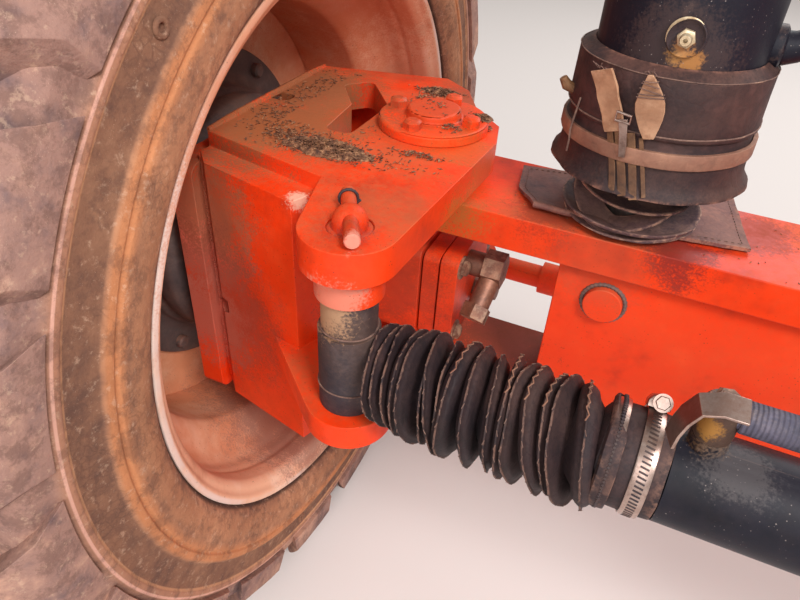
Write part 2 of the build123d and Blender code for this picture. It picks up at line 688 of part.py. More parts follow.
def make_lockout_rod():
    high = LOCK_TOP - LOCK_ROOF - LOCK_TRAVEL_GAP
    with BuildPart() as lockout_rod:
        upright(LOCKOUT, LOCK_ROD_R, BEAM_TOP, high)
        upright(LOCKOUT, LOCK_BORE_R - SEAT_GAP, high - LOCK_PISTON, high)
    return lockout_rod


def make_lockout_fittings():
    front = -LOCK_BARREL_R
    side = LOCKOUT_X - LOCK_BARREL_R
    with BuildPart() as lockout_fittings:
        from_front(LOCKOUT_X, BLEED_Z, BLEED_R, front - BLEED_PROUD, 2 * BLEED_PROUD)
        from_front(LOCKOUT_X, BLEED_Z, NIPPLE_R, front - NIPPLE_PROUD, NIPPLE_PROUD)
        along_x(ELBOW_Y, ELBOW_Z, ELBOW_R, side - ELBOW_PROUD, side + ELBOW_R)
        wall_r = LOCK_BARREL_R + RUN_GAP
        upright(LOCKOUT, wall_r, ELBOW_Z - LOCK_PISTON, BLEED_Z + LOCK_PISTON, mode=Mode.SUBTRACT)
    return lockout_fittings


def make_boot_collar():
    inner = LOCK_BARREL_R + SEAT_GAP
    section = [
        (inner, BOOT_BOTTOM), (BOOT_FLARE_R, BOOT_BOTTOM), (BOOT_R, BOOT_BOTTOM + BOOT_LIP),
        (BOOT_R, BOOT_TOP - BOOT_SHOULDER), (inner + 1, BOOT_TOP), (inner, BOOT_TOP),
    ]
    with BuildPart() as boot_collar:
        turn_z(section, *LOCKOUT)
    return boot_collar


def make_boot_discs():
    low = BEAM_TOP + MAT_THICK + 2 * SEAT_GAP
    bottom = low
    with BuildPart() as boot_discs:
        for top, wider, shift in DISC_LAYERS:
            upright((LOCKOUT_X + shift, -shift), DISC_BOOT_R + wider, bottom, low + top)
            bottom = low + top
        upright(LOCKOUT, DISC_BOOT_R, bottom, DISC_TOP)
        upright(LOCKOUT, LOCK_ROD_R + SEAT_GAP, low, DISC_TOP, mode=Mode.SUBTRACT)
    return boot_discs


def make_mat():
    centre = (LOCKOUT_X + MAT_SHIFT_X, MAT_SHIFT_Y, 0)
    with BuildPart() as mat:
        with BuildSketch(Plane.XY.offset(BEAM_TOP + SEAT_GAP)) as sheet:
            with Locations(Location(centre, (0, 0, MAT_TURN))):
                RectangleRounded(MAT_LENGTH, MAT_WIDTH, MAT_CORNER)
            with Locations(LOCKOUT):
                Circle(LOCK_ROD_R + SEAT_GAP, mode=Mode.SUBTRACT)
        extrude(sheet.sketch, amount=MAT_THICK)
    return mat


def make_tie_rod_pin():
    top = -PLATE_UNDER + TIE_EYE_THICK + 2 * FACE_GAP
    section = [
        (0, -PLATE_TOP - TIE_HEAD), (TIE_HEAD_R, -PLATE_TOP - TIE_HEAD), (TIE_HEAD_R, -PLATE_TOP),
        (TIE_PIN_R, -PLATE_TOP), (TIE_PIN_R, top), (TIE_NUT_R, top), (TIE_NUT_R, top + TIE_NUT),
        (0, top + TIE_NUT),
    ]
    with BuildPart() as tie_rod_pin:
        turn_z(section, *TIE_PIN)
    return tie_rod_pin


def make_axle_beam():
    with BuildPart() as axle_beam:
        for low, high in ((BEAM_UNDER, BEAM_TOP), (-BEAM_TOP, -BEAM_UNDER)):
            with BuildSketch(Plane.XY.offset(low)) as bar:
                SlotCenterToCenter(2 * KINGPIN_X, 2 * BEAM_HALF)
            extrude(bar.sketch, amount=high - low)
        with BuildSketch(Plane.XY.offset(-BEAM_UNDER)) as box:
            Rectangle(2 * BOX_END_X, 2 * BOX_HALF)
        extrude(box.sketch, amount=2 * BEAM_UNDER)
        from_front(0, 0, BOSS_R, -BUSH_HALF, 2 * BUSH_HALF)
        with BuildSketch(Plane.XY.offset(BEAM_UNDER - RIB_DROP)) as rib:
            with Locations((0, BOX_HALF + RIB_THICK / 2)):
                Rectangle(2 * (BOX_END_X + RIB_OVERHANG), RIB_THICK)
        extrude(rib.sketch, amount=RIB_DROP)
        from_front(0, 0, BORE_R, -BUSH_HALF, 2 * BUSH_HALF, mode=Mode.SUBTRACT)
        for side in (-1, 1):
            for low, high in ((BEAM_UNDER, BEAM_TOP), (-BEAM_TOP, -BEAM_UNDER)):
                upright((side * KINGPIN_X, 0), KINGPIN_R + RUN_GAP, low, high, mode=Mode.SUBTRACT)
            from_front(side * LOCKOUT_X, PLUG_Z, PLUG_R, -BOX_HALF - PLUG_PROUD, PLUG_PROUD)
    return axle_beam


def make_pivot_bush():
    with BuildPart() as pivot_bush:
        from_front(0, 0, BORE_R, -BUSH_HALF, 2 * BUSH_HALF)
        from_front(0, 0, BUSH_R, -BUSH_HALF, 2 * BUSH_HALF, mode=Mode.SUBTRACT)
    return pivot_bush


def make_cylinder_bracket():
    front = STEER_PIN_Y - LEAF_REACH
    root = BARREL_BASE_X + LEAF_ROOT
    tip = BARREL_BASE_X + LEAF_TIP
    leaf = [(-root, -BOX_HALF), (-tip, front), (tip, front), (root, -BOX_HALF)]
    with BuildPart() as cylinder_bracket:
        for low in (LEAF_LOW, LEAF_HIGH):
            plate(leaf, low, low + LEAF_THICK)
        from_front(0, 0, BOSS_R, -BUSH_HALF - BOSS_CLEAR, BUSH_HALF + BOSS_CLEAR, mode=Mode.SUBTRACT)
        with BuildSketch(Plane.XY.offset(LEAF_LOW + LEAF_THICK)) as web:
            with Locations((0, WEB_Y)):
                Rectangle(WEB_WIDTH, WEB_DEPTH)
        extrude(web.sketch, amount=LEAF_HIGH - LEAF_LOW - LEAF_THICK)
        for side in (-1, 1):
            pin = (side * BARREL_BASE_X, STEER_PIN_Y)
            upright(pin, BASE_PIN_R, LEAF_LOW, LEAF_HIGH + LEAF_THICK, mode=Mode.SUBTRACT)
    return cylinder_bracket


def make_barrel_pins():
    top = LEAF_HIGH + LEAF_THICK
    section = [
        (0, LEAF_LOW), (BASE_PIN_R, LEAF_LOW), (BASE_PIN_R, top), (BASE_PIN_HEAD_R, top),
        (BASE_PIN_HEAD_R, top + BASE_PIN_HEAD), (0, top + BASE_PIN_HEAD),
    ]
    with BuildPart() as barrel_pins:
        for side in (-1, 1):
            turn_z(section, side * BARREL_BASE_X, STEER_PIN_Y)
    return barrel_pins


def make_tie_rod():
    low = -PLATE_UNDER + FACE_GAP
    middle = low + TIE_EYE_THICK / 2
    tube_end = KINGPIN_X - TIE_TUBE_INSET
    with BuildPart() as tie_rod:
        along_x(TIE_PIN_Y, middle, TIE_ROD_R, -KINGPIN_X, KINGPIN_X)
        along_x(TIE_PIN_Y, middle, TIE_TUBE_R, -tube_end, tube_end)
        for side in (-1, 1):
            upright((side * KINGPIN_X, TIE_PIN_Y), TIE_EYE_R, low, low + TIE_EYE_THICK)
        for side in (-1, 1):
            pin = (side * KINGPIN_X, TIE_PIN_Y)
            upright(pin, TIE_PIN_R + RUN_GAP, low, low + TIE_EYE_THICK, mode=Mode.SUBTRACT)
    return tie_rod


WHEEL_END = {
    "tyre": make_tyre,
    "rim": make_rim,
    "hub": make_hub,
    "spindle": make_spindle,
    "knuckle": make_knuckle,
    "kingpins": make_kingpins,
    "drive_motor": make_drive_motor,
    "motor_fittings": make_motor_fittings,
    "steer_pin": make_steer_pin,
    "steer_rod": make_steer_rod,
    "gaiter": make_gaiter,
    "steer_barrel": make_steer_barrel,
    "gaiter_clamps": make_gaiter_clamps,
    "barrel_hose": make_barrel_hose,
    "lockout_barrel": make_lockout_barrel,
    "lockout_rod": make_lockout_rod,
    "lockout_fittings": make_lockout_fittings,
    "boot_collar": make_boot_collar,
    "boot_discs": make_boot_discs,
    "mat": make_mat,
    "tie_rod_pin": make_tie_rod_pin,
}

COMMON = {
    "axle_beam": make_axle_beam,
    "pivot_bush": make_pivot_bush,
    "cylinder_bracket": make_cylinder_bracket,
    "barrel_pins": make_barrel_pins,
    "tie_rod": make_tie_rod,
}

for piece, make in WHEEL_END.items():
    right = make()
    right.part.label = piece + "_right"
    export_step(right.part, "parts/" + right.part.label + ".step")
    with BuildPart() as left:
        mirror(right.part, about=Plane.YZ)
    left.part.label = piece + "_left"
    export_step(left.part, "parts/" + left.part.label + ".step")

for piece, make in COMMON.items():
    whole = make()
    whole.part.label = piece
    export_step(whole.part, "parts/" + piece + ".step")
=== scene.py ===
"""Looks of a boom lift's steered drive axle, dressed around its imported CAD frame.

Sizes in the code are millimetres unless a name says otherwise; meshes are written in metres. The
axle runs along X, the front is -Y, and each wheel end is drawn on the right and mirrored.
"""
import json
import math
import random

import bmesh
import bpy
from mathutils import Matrix, Vector, noise

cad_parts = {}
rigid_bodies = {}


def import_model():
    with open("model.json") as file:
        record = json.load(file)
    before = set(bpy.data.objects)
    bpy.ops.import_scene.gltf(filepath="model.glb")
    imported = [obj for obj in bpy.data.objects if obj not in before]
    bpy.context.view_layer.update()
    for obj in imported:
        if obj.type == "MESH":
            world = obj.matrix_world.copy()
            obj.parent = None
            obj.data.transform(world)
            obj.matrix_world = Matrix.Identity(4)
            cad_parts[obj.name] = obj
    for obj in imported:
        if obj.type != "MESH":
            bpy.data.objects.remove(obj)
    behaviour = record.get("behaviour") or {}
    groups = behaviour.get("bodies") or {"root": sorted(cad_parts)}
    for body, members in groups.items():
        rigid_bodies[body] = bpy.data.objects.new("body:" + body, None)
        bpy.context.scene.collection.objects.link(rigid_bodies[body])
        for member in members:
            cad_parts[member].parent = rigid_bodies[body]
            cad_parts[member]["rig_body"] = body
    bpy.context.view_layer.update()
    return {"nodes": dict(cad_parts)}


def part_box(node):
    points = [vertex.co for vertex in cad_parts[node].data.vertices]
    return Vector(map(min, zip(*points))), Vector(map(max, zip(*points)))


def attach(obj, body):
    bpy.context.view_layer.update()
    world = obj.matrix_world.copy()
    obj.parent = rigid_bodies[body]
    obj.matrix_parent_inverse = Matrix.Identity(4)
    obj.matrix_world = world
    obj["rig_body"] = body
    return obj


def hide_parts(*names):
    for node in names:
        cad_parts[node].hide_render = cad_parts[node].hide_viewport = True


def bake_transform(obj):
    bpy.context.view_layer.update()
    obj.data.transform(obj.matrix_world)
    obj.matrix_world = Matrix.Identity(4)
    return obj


bl_info = {
    "name": "Steered drive axle",
    "version": (1, 0, 0),
    "blender": (4, 5, 0),
    "location": "View3D > Sidebar > Axle",
    "description": "Builds the dressed model of a boom lift's steered drive axle around its CAD frame",
    "category": "Add Mesh",
}

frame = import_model()
NODES = frame["nodes"]
MM = 0.001
SIGNS = {"left": -1, "right": 1}


def low(node):
    """Lowest corner of a CAD node in millimetres."""
    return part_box(node)[0] / MM


def high(node):
    """Highest corner of a CAD node in millimetres."""
    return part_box(node)[1] / MM


def middle(node):
    return (low(node) + high(node)) / 2


# Places, sizes and turns of the drawing, in millimetres and degrees
DRAWN_HALF = 177.5  # half the tyre's width where its section is drawn
RIM_HALF = 165.5
DISC_OFFSET = 34.5
WHEEL_NUT_R = 168.0
HUB_BOLT_R = 82.0
KNUCKLE_END_X = 981.5
MOTOR_FLANGE_X = 961.5
BAND_R = 42.6
BAND_TURN = -38
BOOT_STRAP_LIFT = 36.0
PLUG_Y = -54.4
PLUG_Z = 57.0
PLUG_R = 21.0
PIN_HEAD = 18.0
PLATE_THICK = 32.0
FLANGE_TALL = 11.0
ROD_Z = 36.0
LOCK_R = 68.5

# Places read from the frame, in millimetres
TYRE = high("tyre_right") - low("tyre_right")
TYRE_R = TYRE.z / 2
TYRE_HALF = TYRE.x / 2
WHEEL_X = middle("tyre_right").x
KINGPIN_X = middle("kingpins_right").x
CAP_TOP = high("kingpins_right").z
CAP_R = (high("kingpins_right").x - low("kingpins_right").x) / 2
PLATE_TOP = high("steer_pin_right").z - PIN_HEAD
PLATE_UNDER = PLATE_TOP - PLATE_THICK
PIN_X = middle("steer_pin_right").x
PIN_Y = middle("steer_pin_right").y
MOTOR_END_X = low("drive_motor_right").x
LOCK_X = middle("lockout_rod_right").x
LOCK_Y = middle("lockout_rod_right").y
BEAM_TOP = high("axle_beam").z
GAITER_MOUTH = low("gaiter_right").x
GAITER_EYE = high("gaiter_right").x
BOOT_LOW = low("boot_collar_right").z


# Mesh helpers

def soften(line, radius, steps=3, closed=True):
    """Round the corners of a line of (along, radius) points."""
    count = len(line)
    softened = []
    for index, point in enumerate(line):
        here = Vector(point)
        if not closed and index in (0, count - 1):
            softened.append(here)
            continue
        before = Vector(line[index - 1]) - here
        after = Vector(line[(index + 1) % count]) - here
        reach = min(radius, 0.45 * before.length, 0.45 * after.length)
        if reach < 0.05 or before.angle(after) > math.radians(172):
            softened.append(here)
            continue
        start = here + before.normalized() * reach
        end = here + after.normalized() * reach
        for step in range(steps + 1):
            t = step / steps
            softened.append(start.lerp(here, t).lerp(here.lerp(end, t), t))
    return softened


def angles(count, shift=0.0):
    """Even angles of one full turn."""
    return [math.tau * (step + shift) / count for step in range(count)]


def up_by(height):
    """Step straight up."""
    return Vector((0, 0, height))


def about(x, radius, angle):
    """Place at a radius and an angle about the wheel's axis."""
    return Vector((x, radius * math.sin(angle), radius * math.cos(angle)))


def waver(angle, pace, level):
    """Noise that closes on itself round a ring."""
    return noise.noise(Vector((math.cos(angle) * pace, math.sin(angle) * pace, level)))


def frame_of(axis):
    """Two directions square to an axis and to each other."""
    axis = Vector(axis).normalized()
    helper = up_by(1) if abs(axis.z) < 0.9 else Vector((1, 0, 0))
    across = helper.cross(axis).normalized()
    return axis, across, axis.cross(across)


class Shape:
    """Points and faces of one mesh, drawn at +X in millimetres and mirrored for the left hand."""

    def __init__(self, hand):
        self.hand = hand
        self.points = []
        self.faces = []

    def add(self, points, faces):
        start = len(self.points)
        self.points.extend(Vector(point) for point in points)
        self.faces.extend([start + index for index in face] for face in faces)

    def grid(self, rows, wrap_rows=False, wrap_columns=False):
        """Skin equal rows of points."""
        height = len(rows)
        width = len(rows[0])
        faces = []
        for r in range(height if wrap_rows else height - 1):
            for c in range(width if wrap_columns else width - 1):
                above = (r + 1) % height
                beside = (c + 1) % width
                faces.append([r * width + c, r * width + beside, above * width + beside, above * width + c])
        self.add([point for row in rows for point in row], faces)

    def turned(self, profile, origin, axis=(1, 0, 0), steps=64, closed=True, shift=0.0):
        """Turn (along, radius) points about an axis through origin."""
        axis, across, other = frame_of(axis)
        origin = Vector(origin)
        rows = []
        for angle in angles(steps, shift):
            outward = across * math.cos(angle) + other * math.sin(angle)
            rows.append([origin + axis * along + outward * radius for along, radius in profile])
        self.grid(rows, wrap_rows=True, wrap_columns=closed)

    def disc(self, profile, origin, axis=(1, 0, 0), steps=24, shift=0.0):
        """Turn an open profile and close both ends."""
        line = [(profile[0][0], 0.0)] + list(profile) + [(profile[-1][0], 0.0)]
        self.turned(line, origin, axis, steps, closed=False, shift=shift)

    def bolt(self, origin, axis, across_flats=24.0, height=15.0, washer=True):
        """Chamfered hexagon head on a washer, standing on origin."""
        corner = across_flats / math.sqrt(3)
        base = 0.0
        if washer:
            base = 3.0
            self.disc([(-0.5, corner + 4), (2.4, corner + 4), (base, corner + 3)], origin, axis, 24)
        turn = random.random()
        self.disc([(base - 0.4, corner), (height - 2.2, corner), (height, corner - 3)], origin, axis, 6, turn)
        self.disc([(height - 0.5, corner - 4.2), (height + 0.4, corner - 5)], origin, axis, 16)

    def tube(self, path, radius, steps=10, closed=False):
        """Round tube along points; radius is a number or one for each point."""
        path = [Vector(point) for point in path]
        rows = []
        _, across, _ = frame_of(path[1] - path[0])
        for index, point in enumerate(path):
            nearby = path[min(index + 1, len(path) - 1)] - path[max(index - 1, 0)]
            if closed:
                nearby = path[(index + 1) % len(path)] - path[index - 1]
            ahead = nearby.normalized()
            across = (across - ahead * across.dot(ahead)).normalized()
            other = ahead.cross(across)
            wide = radius[index] if hasattr(radius, "__len__") else radius
            rows.append([point + (across * math.cos(a) + other * math.sin(a)) * wide for a in angles(steps)])
        start = len(self.points)
        self.grid(rows, wrap_rows=closed, wrap_columns=True)
        if not closed:
            last = start + (len(rows) - 1) * steps
            self.faces.append([start + step for step in range(steps)])
            self.faces.append([last + step for step in range(steps)])

    def strip(self, path, up, width, thick):
        """Flat band along points; up gives the band's outward direction at each point."""
        path = [Vector(point) for point in path]
        rows = []
        for index, point in enumerate(path):
            ahead = (path[min(index + 1, len(path) - 1)] - path[max(index - 1, 0)]).normalized()
            out = Vector(up[index]).normalized()
            sideways = ahead.cross(out).normalized()
            wide = (width[index] if hasattr(width, "__len__") else width) / 2
            rows.append([
                point - sideways * wide, point + sideways * wide,
                point + sideways * wide + out * thick, point - sideways * wide + out * thick,
            ])
        start = len(self.points)
        self.grid(rows, wrap_columns=True)
        last = start + (len(rows) - 1) * 4
        self.faces.append([start, start + 1, start + 2, start + 3])
        self.faces.append([last, last + 1, last + 2, last + 3])

    def put(self, name, finish, body, stands_for=None, **options):
        """Place the shape as this hand's piece; the names are given without their hand."""
        end = "_" + self.hand
        ridden = body if body in (None, "axle") else body + end
        nodes = [stands_for + end] if stands_for else ()
        return place(self.mesh(name + end), name + end, finish, ridden, nodes, **options)

    def mesh(self, name):
        mesh = bpy.data.meshes.new(name)
        points = [(p.x * MM * SIGNS[self.hand], p.y * MM, p.z * MM) for p in self.points]
        mesh.from_pydata(points, [], self.faces)
        return mesh


def inset(outline, distance):
    """Move each side of a flat outline inwards."""
    area = sum(a[0] * b[1] - b[0] * a[1] for a, b in zip(outline, outline[1:] + outline[:1]))
    turn = 1 if area > 0 else -1
    moved = []
    count = len(outline)
    for index in range(count):
        here = Vector(outline[index])
        back = (here - Vector(outline[index - 1])).normalized()
        ahead = (Vector(outline[(index + 1) % count]) - here).normalized()
        normal_a = Vector((-back.y, back.x)) * turn
        normal_b = Vector((-ahead.y, ahead.x)) * turn
        share = 1 + normal_a.dot(normal_b)
        moved.append(tuple(here + (normal_a + normal_b) * (distance / max(share, 0.3))))
    return moved


def place(mesh, name, finish, body, stands_for=(), bevel=0.0, segments=2, smooth=38.0, weld=True, slot=None):
    """Finish a mesh, link it and let it ride on a body."""
    if weld:
        work = bmesh.new()
        work.from_mesh(mesh)
        bmesh.ops.remove_doubles(work, verts=work.verts, dist=0.02 * MM)
        bmesh.ops.recalc_face_normals(work, faces=work.faces)
        work.to_mesh(mesh)
        work.free()
    mesh.materials.append(MATERIALS[finish])
    mesh.shade_smooth()
    mesh.set_sharp_from_angle(angle=math.radians(smooth))
    piece = bpy.data.objects.new(name, mesh)
    bpy.context.scene.collection.objects.link(piece)
    if bevel:
        soft = piece.modifiers.new("Rounded edges", "BEVEL")
        soft.width = bevel * MM
        soft.segments = segments
        soft.limit_method = "ANGLE"
        soft.angle_limit = math.radians(34)
        soft.harden_normals = True
    if body:
        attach(piece, body)
    if stands_for:
        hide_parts(*stands_for)
    return piece


def softened(node, finish, slot, width=1.6, segments=2, flat=1.0):
    """A copy of a CAD node with clean faces and rounded edges, which stands for the node."""
    mesh = NODES[node].data.copy()
    mesh.name = node + "_dressed"
    mesh.materials.clear()
    work = bmesh.new()
    work.from_mesh(mesh)
    bmesh.ops.remove_doubles(work, verts=work.verts, dist=0.01 * MM)
    bmesh.ops.dissolve_limit(
        work, angle_limit=math.radians(flat), verts=work.verts, edges=work.edges, use_dissolve_boundaries=False)
    work.to_mesh(mesh)
    work.free()
    return place(mesh, node + "_dressed", finish, NODES[node]["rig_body"], [node], width, segments, 32.0, False, slot)


def painted(node, finish):
    """Keep a CAD node and give it a better finish."""
    mesh = NODES[node].data
    mesh.materials.clear()
    mesh.materials.append(MATERIALS[finish])


# Shader groups

def new_group(name, inputs, outputs):
    """Start a shader node group that reads a place; further inputs are (name, kind, default)."""
    group = bpy.data.node_groups.new(name, "ShaderNodeTree")
    for label, kind, default in [("Vector", "Vector", None)] + inputs:
        socket = group.interface.new_socket(name=label, in_out="INPUT", socket_type="NodeSocket" + kind)
        if default is not None:
            socket.default_value = default
    for label, kind in outputs:
        group.interface.new_socket(name=label, in_out="OUTPUT", socket_type="NodeSocket" + kind)
    return Tree(group)


class Tree:
    """Short calls for adding and joining shader nodes."""

    def __init__(self, tree):
        self.tree = tree
        self.start = None
        self.end = None

    def node(self, kind, *links, **settings):
        node = self.tree.nodes.new("ShaderNode" + kind)
        values = settings.pop("values", {})
        for key, value in settings.items():
            setattr(node, key, value)
        for key, value in values.items():
            self.feed(node.inputs[key], value)
        for index, value in enumerate(links):
            self.feed(node.inputs[index], value)
        return node

    def feed(self, socket, value):
        if isinstance(value, bpy.types.NodeSocket):
            self.tree.links.new(value, socket)
        elif value is not None:
            socket.default_value = value

    def input(self, name="Vector"):
        if self.start is None:
            self.start = self.tree.nodes.new("NodeGroupInput")
        return self.start.outputs[name]

    def output(self, name, value):
        if self.end is None:
            self.end = self.tree.nodes.new("NodeGroupOutput")
        self.feed(self.end.inputs[name], value)

    def maths(self, operation, a, b=None, clamp=False):
        return self.node("Math", a, b, operation=operation, use_clamp=clamp).outputs[0]

    def times(self, a, b, clamp=False):
        return self.maths("MULTIPLY", a, b, clamp)

    def plus(self, a, b):
        return self.maths("ADD", a, b)

    def rest(self, value):
        """What is left of 1."""
        return self.maths("SUBTRACT", 1.0, value)

    def ramp(self, value, start, end):
        """0 below start and 1 above end, eased."""
        node = self.node("MapRange", value, start, end, 0.0, 1.0, interpolation_type="SMOOTHSTEP")
        return node.outputs[0]

    def mix(self, factor, a, b, blend="MIX"):
        node = self.tree.nodes.new("ShaderNodeMix")
        node.data_type = "RGBA"
        node.blend_type = blend
        self.feed(node.inputs[0], factor)
        self.feed(node.inputs[6], a)
        self.feed(node.inputs[7], b)
        return node.outputs[2]

    def noise(self, vector, scale, detail=4.0, rough=0.55):
        node = self.node("TexNoise", noise_dimensions="3D")
        self.feed(node.inputs["Vector"], vector)
        self.feed(node.inputs["Scale"], scale)
        self.feed(node.inputs["Detail"], detail)
        self.feed(node.inputs["Roughness"], rough)
        return node.outputs[0]

    def object_place(self):
        return self.node("TexCoord").outputs["Object"]

    def group(self, tree, **values):
        node = self.tree.nodes.new("ShaderNodeGroup")
        node.node_tree = tree
        for key, value in values.items():
            self.feed(node.inputs[key.replace("_", " ")], value)
        return node


def colour(red, green, blue):
    """Linear colour from 0 to 255 screen values."""
    def straight(value):
        value /= 255
        return value / 12.92 if value <= 0.04045 else ((value + 0.055) / 1.055) ** 2.4
    return (straight(red), straight(green), straight(blue), 1.0)


GROUPS = {}


def make_mottle():
    """Colour that drifts between three tones."""
    t = new_group("Mottle", [("Light", "Color", None), ("Main", "Color", None), ("Dark", "Color", None),
        ("Scale", "Float", 12.0), ("Contrast", "Float", 1.0)], [("Color", "Color"), ("Mask", "Float")])
    large = t.noise(t.input(), t.input("Scale"), 5.0, 0.6)
    fine = t.noise(t.input(), t.times(t.input("Scale"), 6.3), 3.0, 0.6)
    both = t.plus(t.times(large, 0.7), t.times(fine, 0.3))
    swing = t.times(t.maths("SUBTRACT", both, 0.5), t.input("Contrast"))
    lit = t.ramp(swing, 0.0, 0.22)
    dim = t.ramp(t.times(swing, -1.0), 0.0, 0.22)
    first = t.mix(lit, t.input("Main"), t.input("Light"))
    t.output("Color", t.mix(dim, first, t.input("Dark")))
    t.output("Mask", both)
    return t.tree


def make_dust():
    """Loose dust that gathers where a surface faces up, in patches."""
    t = new_group("Dust", [("Color", "Color", None), ("Dust", "Color", None), ("Cover", "Float", 0.5),
        ("Upward", "Float", 1.0), ("Scale", "Float", 9.0)], [("Color", "Color"), ("Mask", "Float")])
    facing = t.node("SeparateXYZ", t.node("NewGeometry").outputs["Normal"]).outputs[2]
    up = t.ramp(facing, -0.2, 0.9)
    level = t.rest(t.times(t.input("Upward"), t.rest(up)))
    patch = t.noise(t.input(), t.input("Scale"), 6.0, 0.62)
    speck = t.noise(t.input(), t.times(t.input("Scale"), 22.0), 2.0, 0.7)
    blot = t.ramp(t.plus(t.times(patch, 0.75), t.times(speck, 0.25)), 0.38, 0.66)
    mask = t.times(t.times(blot, level), t.input("Cover"), clamp=True)
    t.output("Color", t.mix(mask, t.input("Color"), t.input("Dust")))
    t.output("Mask", mask)
    return t.tree


def make_specks():
    """Small scattered dots of another colour."""
    t = new_group("Specks", [("Color", "Color", None), ("Speck", "Color", None), ("Scale", "Float", 160.0),
        ("Size", "Float", 0.2), ("Cover", "Float", 0.7)], [("Color", "Color"), ("Mask", "Float")])
    cells = t.node("TexVoronoi", voronoi_dimensions="3D", feature="F1")
    t.feed(cells.inputs["Vector"], t.input())
    t.feed(cells.inputs["Scale"], t.input("Scale"))
    pick = t.node("SeparateColor", cells.outputs["Color"]).outputs[0]
    near = t.maths("LESS_THAN", cells.outputs["Distance"], t.times(pick, t.input("Size")))
    some = t.ramp(t.noise(t.input(), t.times(t.input("Scale"), 0.08), 2.0), 0.42, 0.6)
    mask = t.times(t.times(near, some), t.input("Cover"))
    t.output("Color", t.mix(mask, t.input("Color"), t.input("Speck")))
    t.output("Mask", mask)
    return t.tree


def make_grain():
    """Height of fine grain over slower lumps."""
    t = new_group("Grain", [("Scale", "Float", 300.0), ("Lumps", "Float", 0.4)], [("Height", "Float")])
    fine = t.noise(t.input(), t.input("Scale"), 4.0, 0.6)
    slow = t.noise(t.input(), t.times(t.input("Scale"), 0.09), 3.0, 0.5)
    t.output("Height", t.plus(fine, t.times(slow, t.input("Lumps"))))
    return t.tree


def make_wear():
    """Mask of rubbed patches on raised edges and corners."""
    t = new_group("Wear", [("Scale", "Float", 40.0), ("Amount", "Float", 0.5)], [("Mask", "Float")])
    ridge = t.ramp(t.node("NewGeometry").outputs["Pointiness"], 0.52, 0.60)
    patch = t.ramp(t.noise(t.input(), t.input("Scale"), 6.0, 0.7), 0.44, 0.60)
    t.output("Mask", t.times(t.times(ridge, patch), t.input("Amount"), clamp=True))
    return t.tree


def make_creases():
    """Height and mask of cracks and folds in hide."""
    t = new_group("Creases", [("Scale", "Float", 70.0)], [("Height", "Float"), ("Mask", "Float")])
    bent = t.node("VectorMath", t.input(), operation="ADD")
    wander = t.node("TexNoise", values={"Scale": 30.0, "Detail": 2.0})
    t.feed(wander.inputs["Vector"], t.input())
    shift = t.node("VectorMath", wander.outputs["Color"], (0.02, 0.02, 0.02), operation="MULTIPLY")
    t.feed(bent.inputs[1], shift.outputs[0])
    cells = t.node("TexVoronoi", voronoi_dimensions="3D", feature="DISTANCE_TO_EDGE")
    t.feed(cells.inputs["Vector"], bent.outputs[0])
    t.feed(cells.inputs["Scale"], t.input("Scale"))
    line = t.ramp(cells.outputs["Distance"], 0.0, 0.12)
    t.output("Height", line)
    t.output("Mask", t.rest(line))
    return t.tree


def make_patch():
    """Ragged patch about a place given for the right-hand end, seen at both ends."""
    t = new_group("Patch", [("Centre", "Vector", None), ("Reach", "Float", 0.05)], [("Mask", "Float")])
    parts = t.node("SeparateXYZ", t.input())
    folded = t.node("CombineXYZ", t.maths("ABSOLUTE", parts.outputs[0]), parts.outputs[1], parts.outputs[2])
    away = t.node("VectorMath", folded.outputs[0], t.input("Centre"), operation="DISTANCE").outputs["Value"]
    ragged = t.plus(t.times(t.noise(t.input(), 40.0, 7.0, 0.72), 1.5), -0.75)
    grit = t.plus(t.times(t.noise(t.input(), 420.0, 2.0, 0.6), 1.2), -0.6)
    edge = t.plus(t.maths("DIVIDE", away, t.input("Reach")), t.plus(ragged, grit))
    t.output("Mask", t.rest(t.ramp(edge, 0.45, 1.05)))
    return t.tree


def make_radius():
    """Distance from the wheel's own axis, in metres."""
    t = new_group("Axle distance", [], [("Radius", "Float")])
    parts = t.node("SeparateXYZ", t.input())
    flat = t.node("CombineXYZ", 0.0, parts.outputs[1], parts.outputs[2])
    t.output("Radius", t.node("VectorMath", flat.outputs[0], operation="LENGTH").outputs["Value"])
    return t.tree


def build_groups():
    GROUPS.update({
        "mottle": make_mottle(), "dust": make_dust(), "specks": make_specks(), "grain": make_grain(),
        "wear": make_wear(), "creases": make_creases(), "radius": make_radius(), "patch": make_patch(),
    })


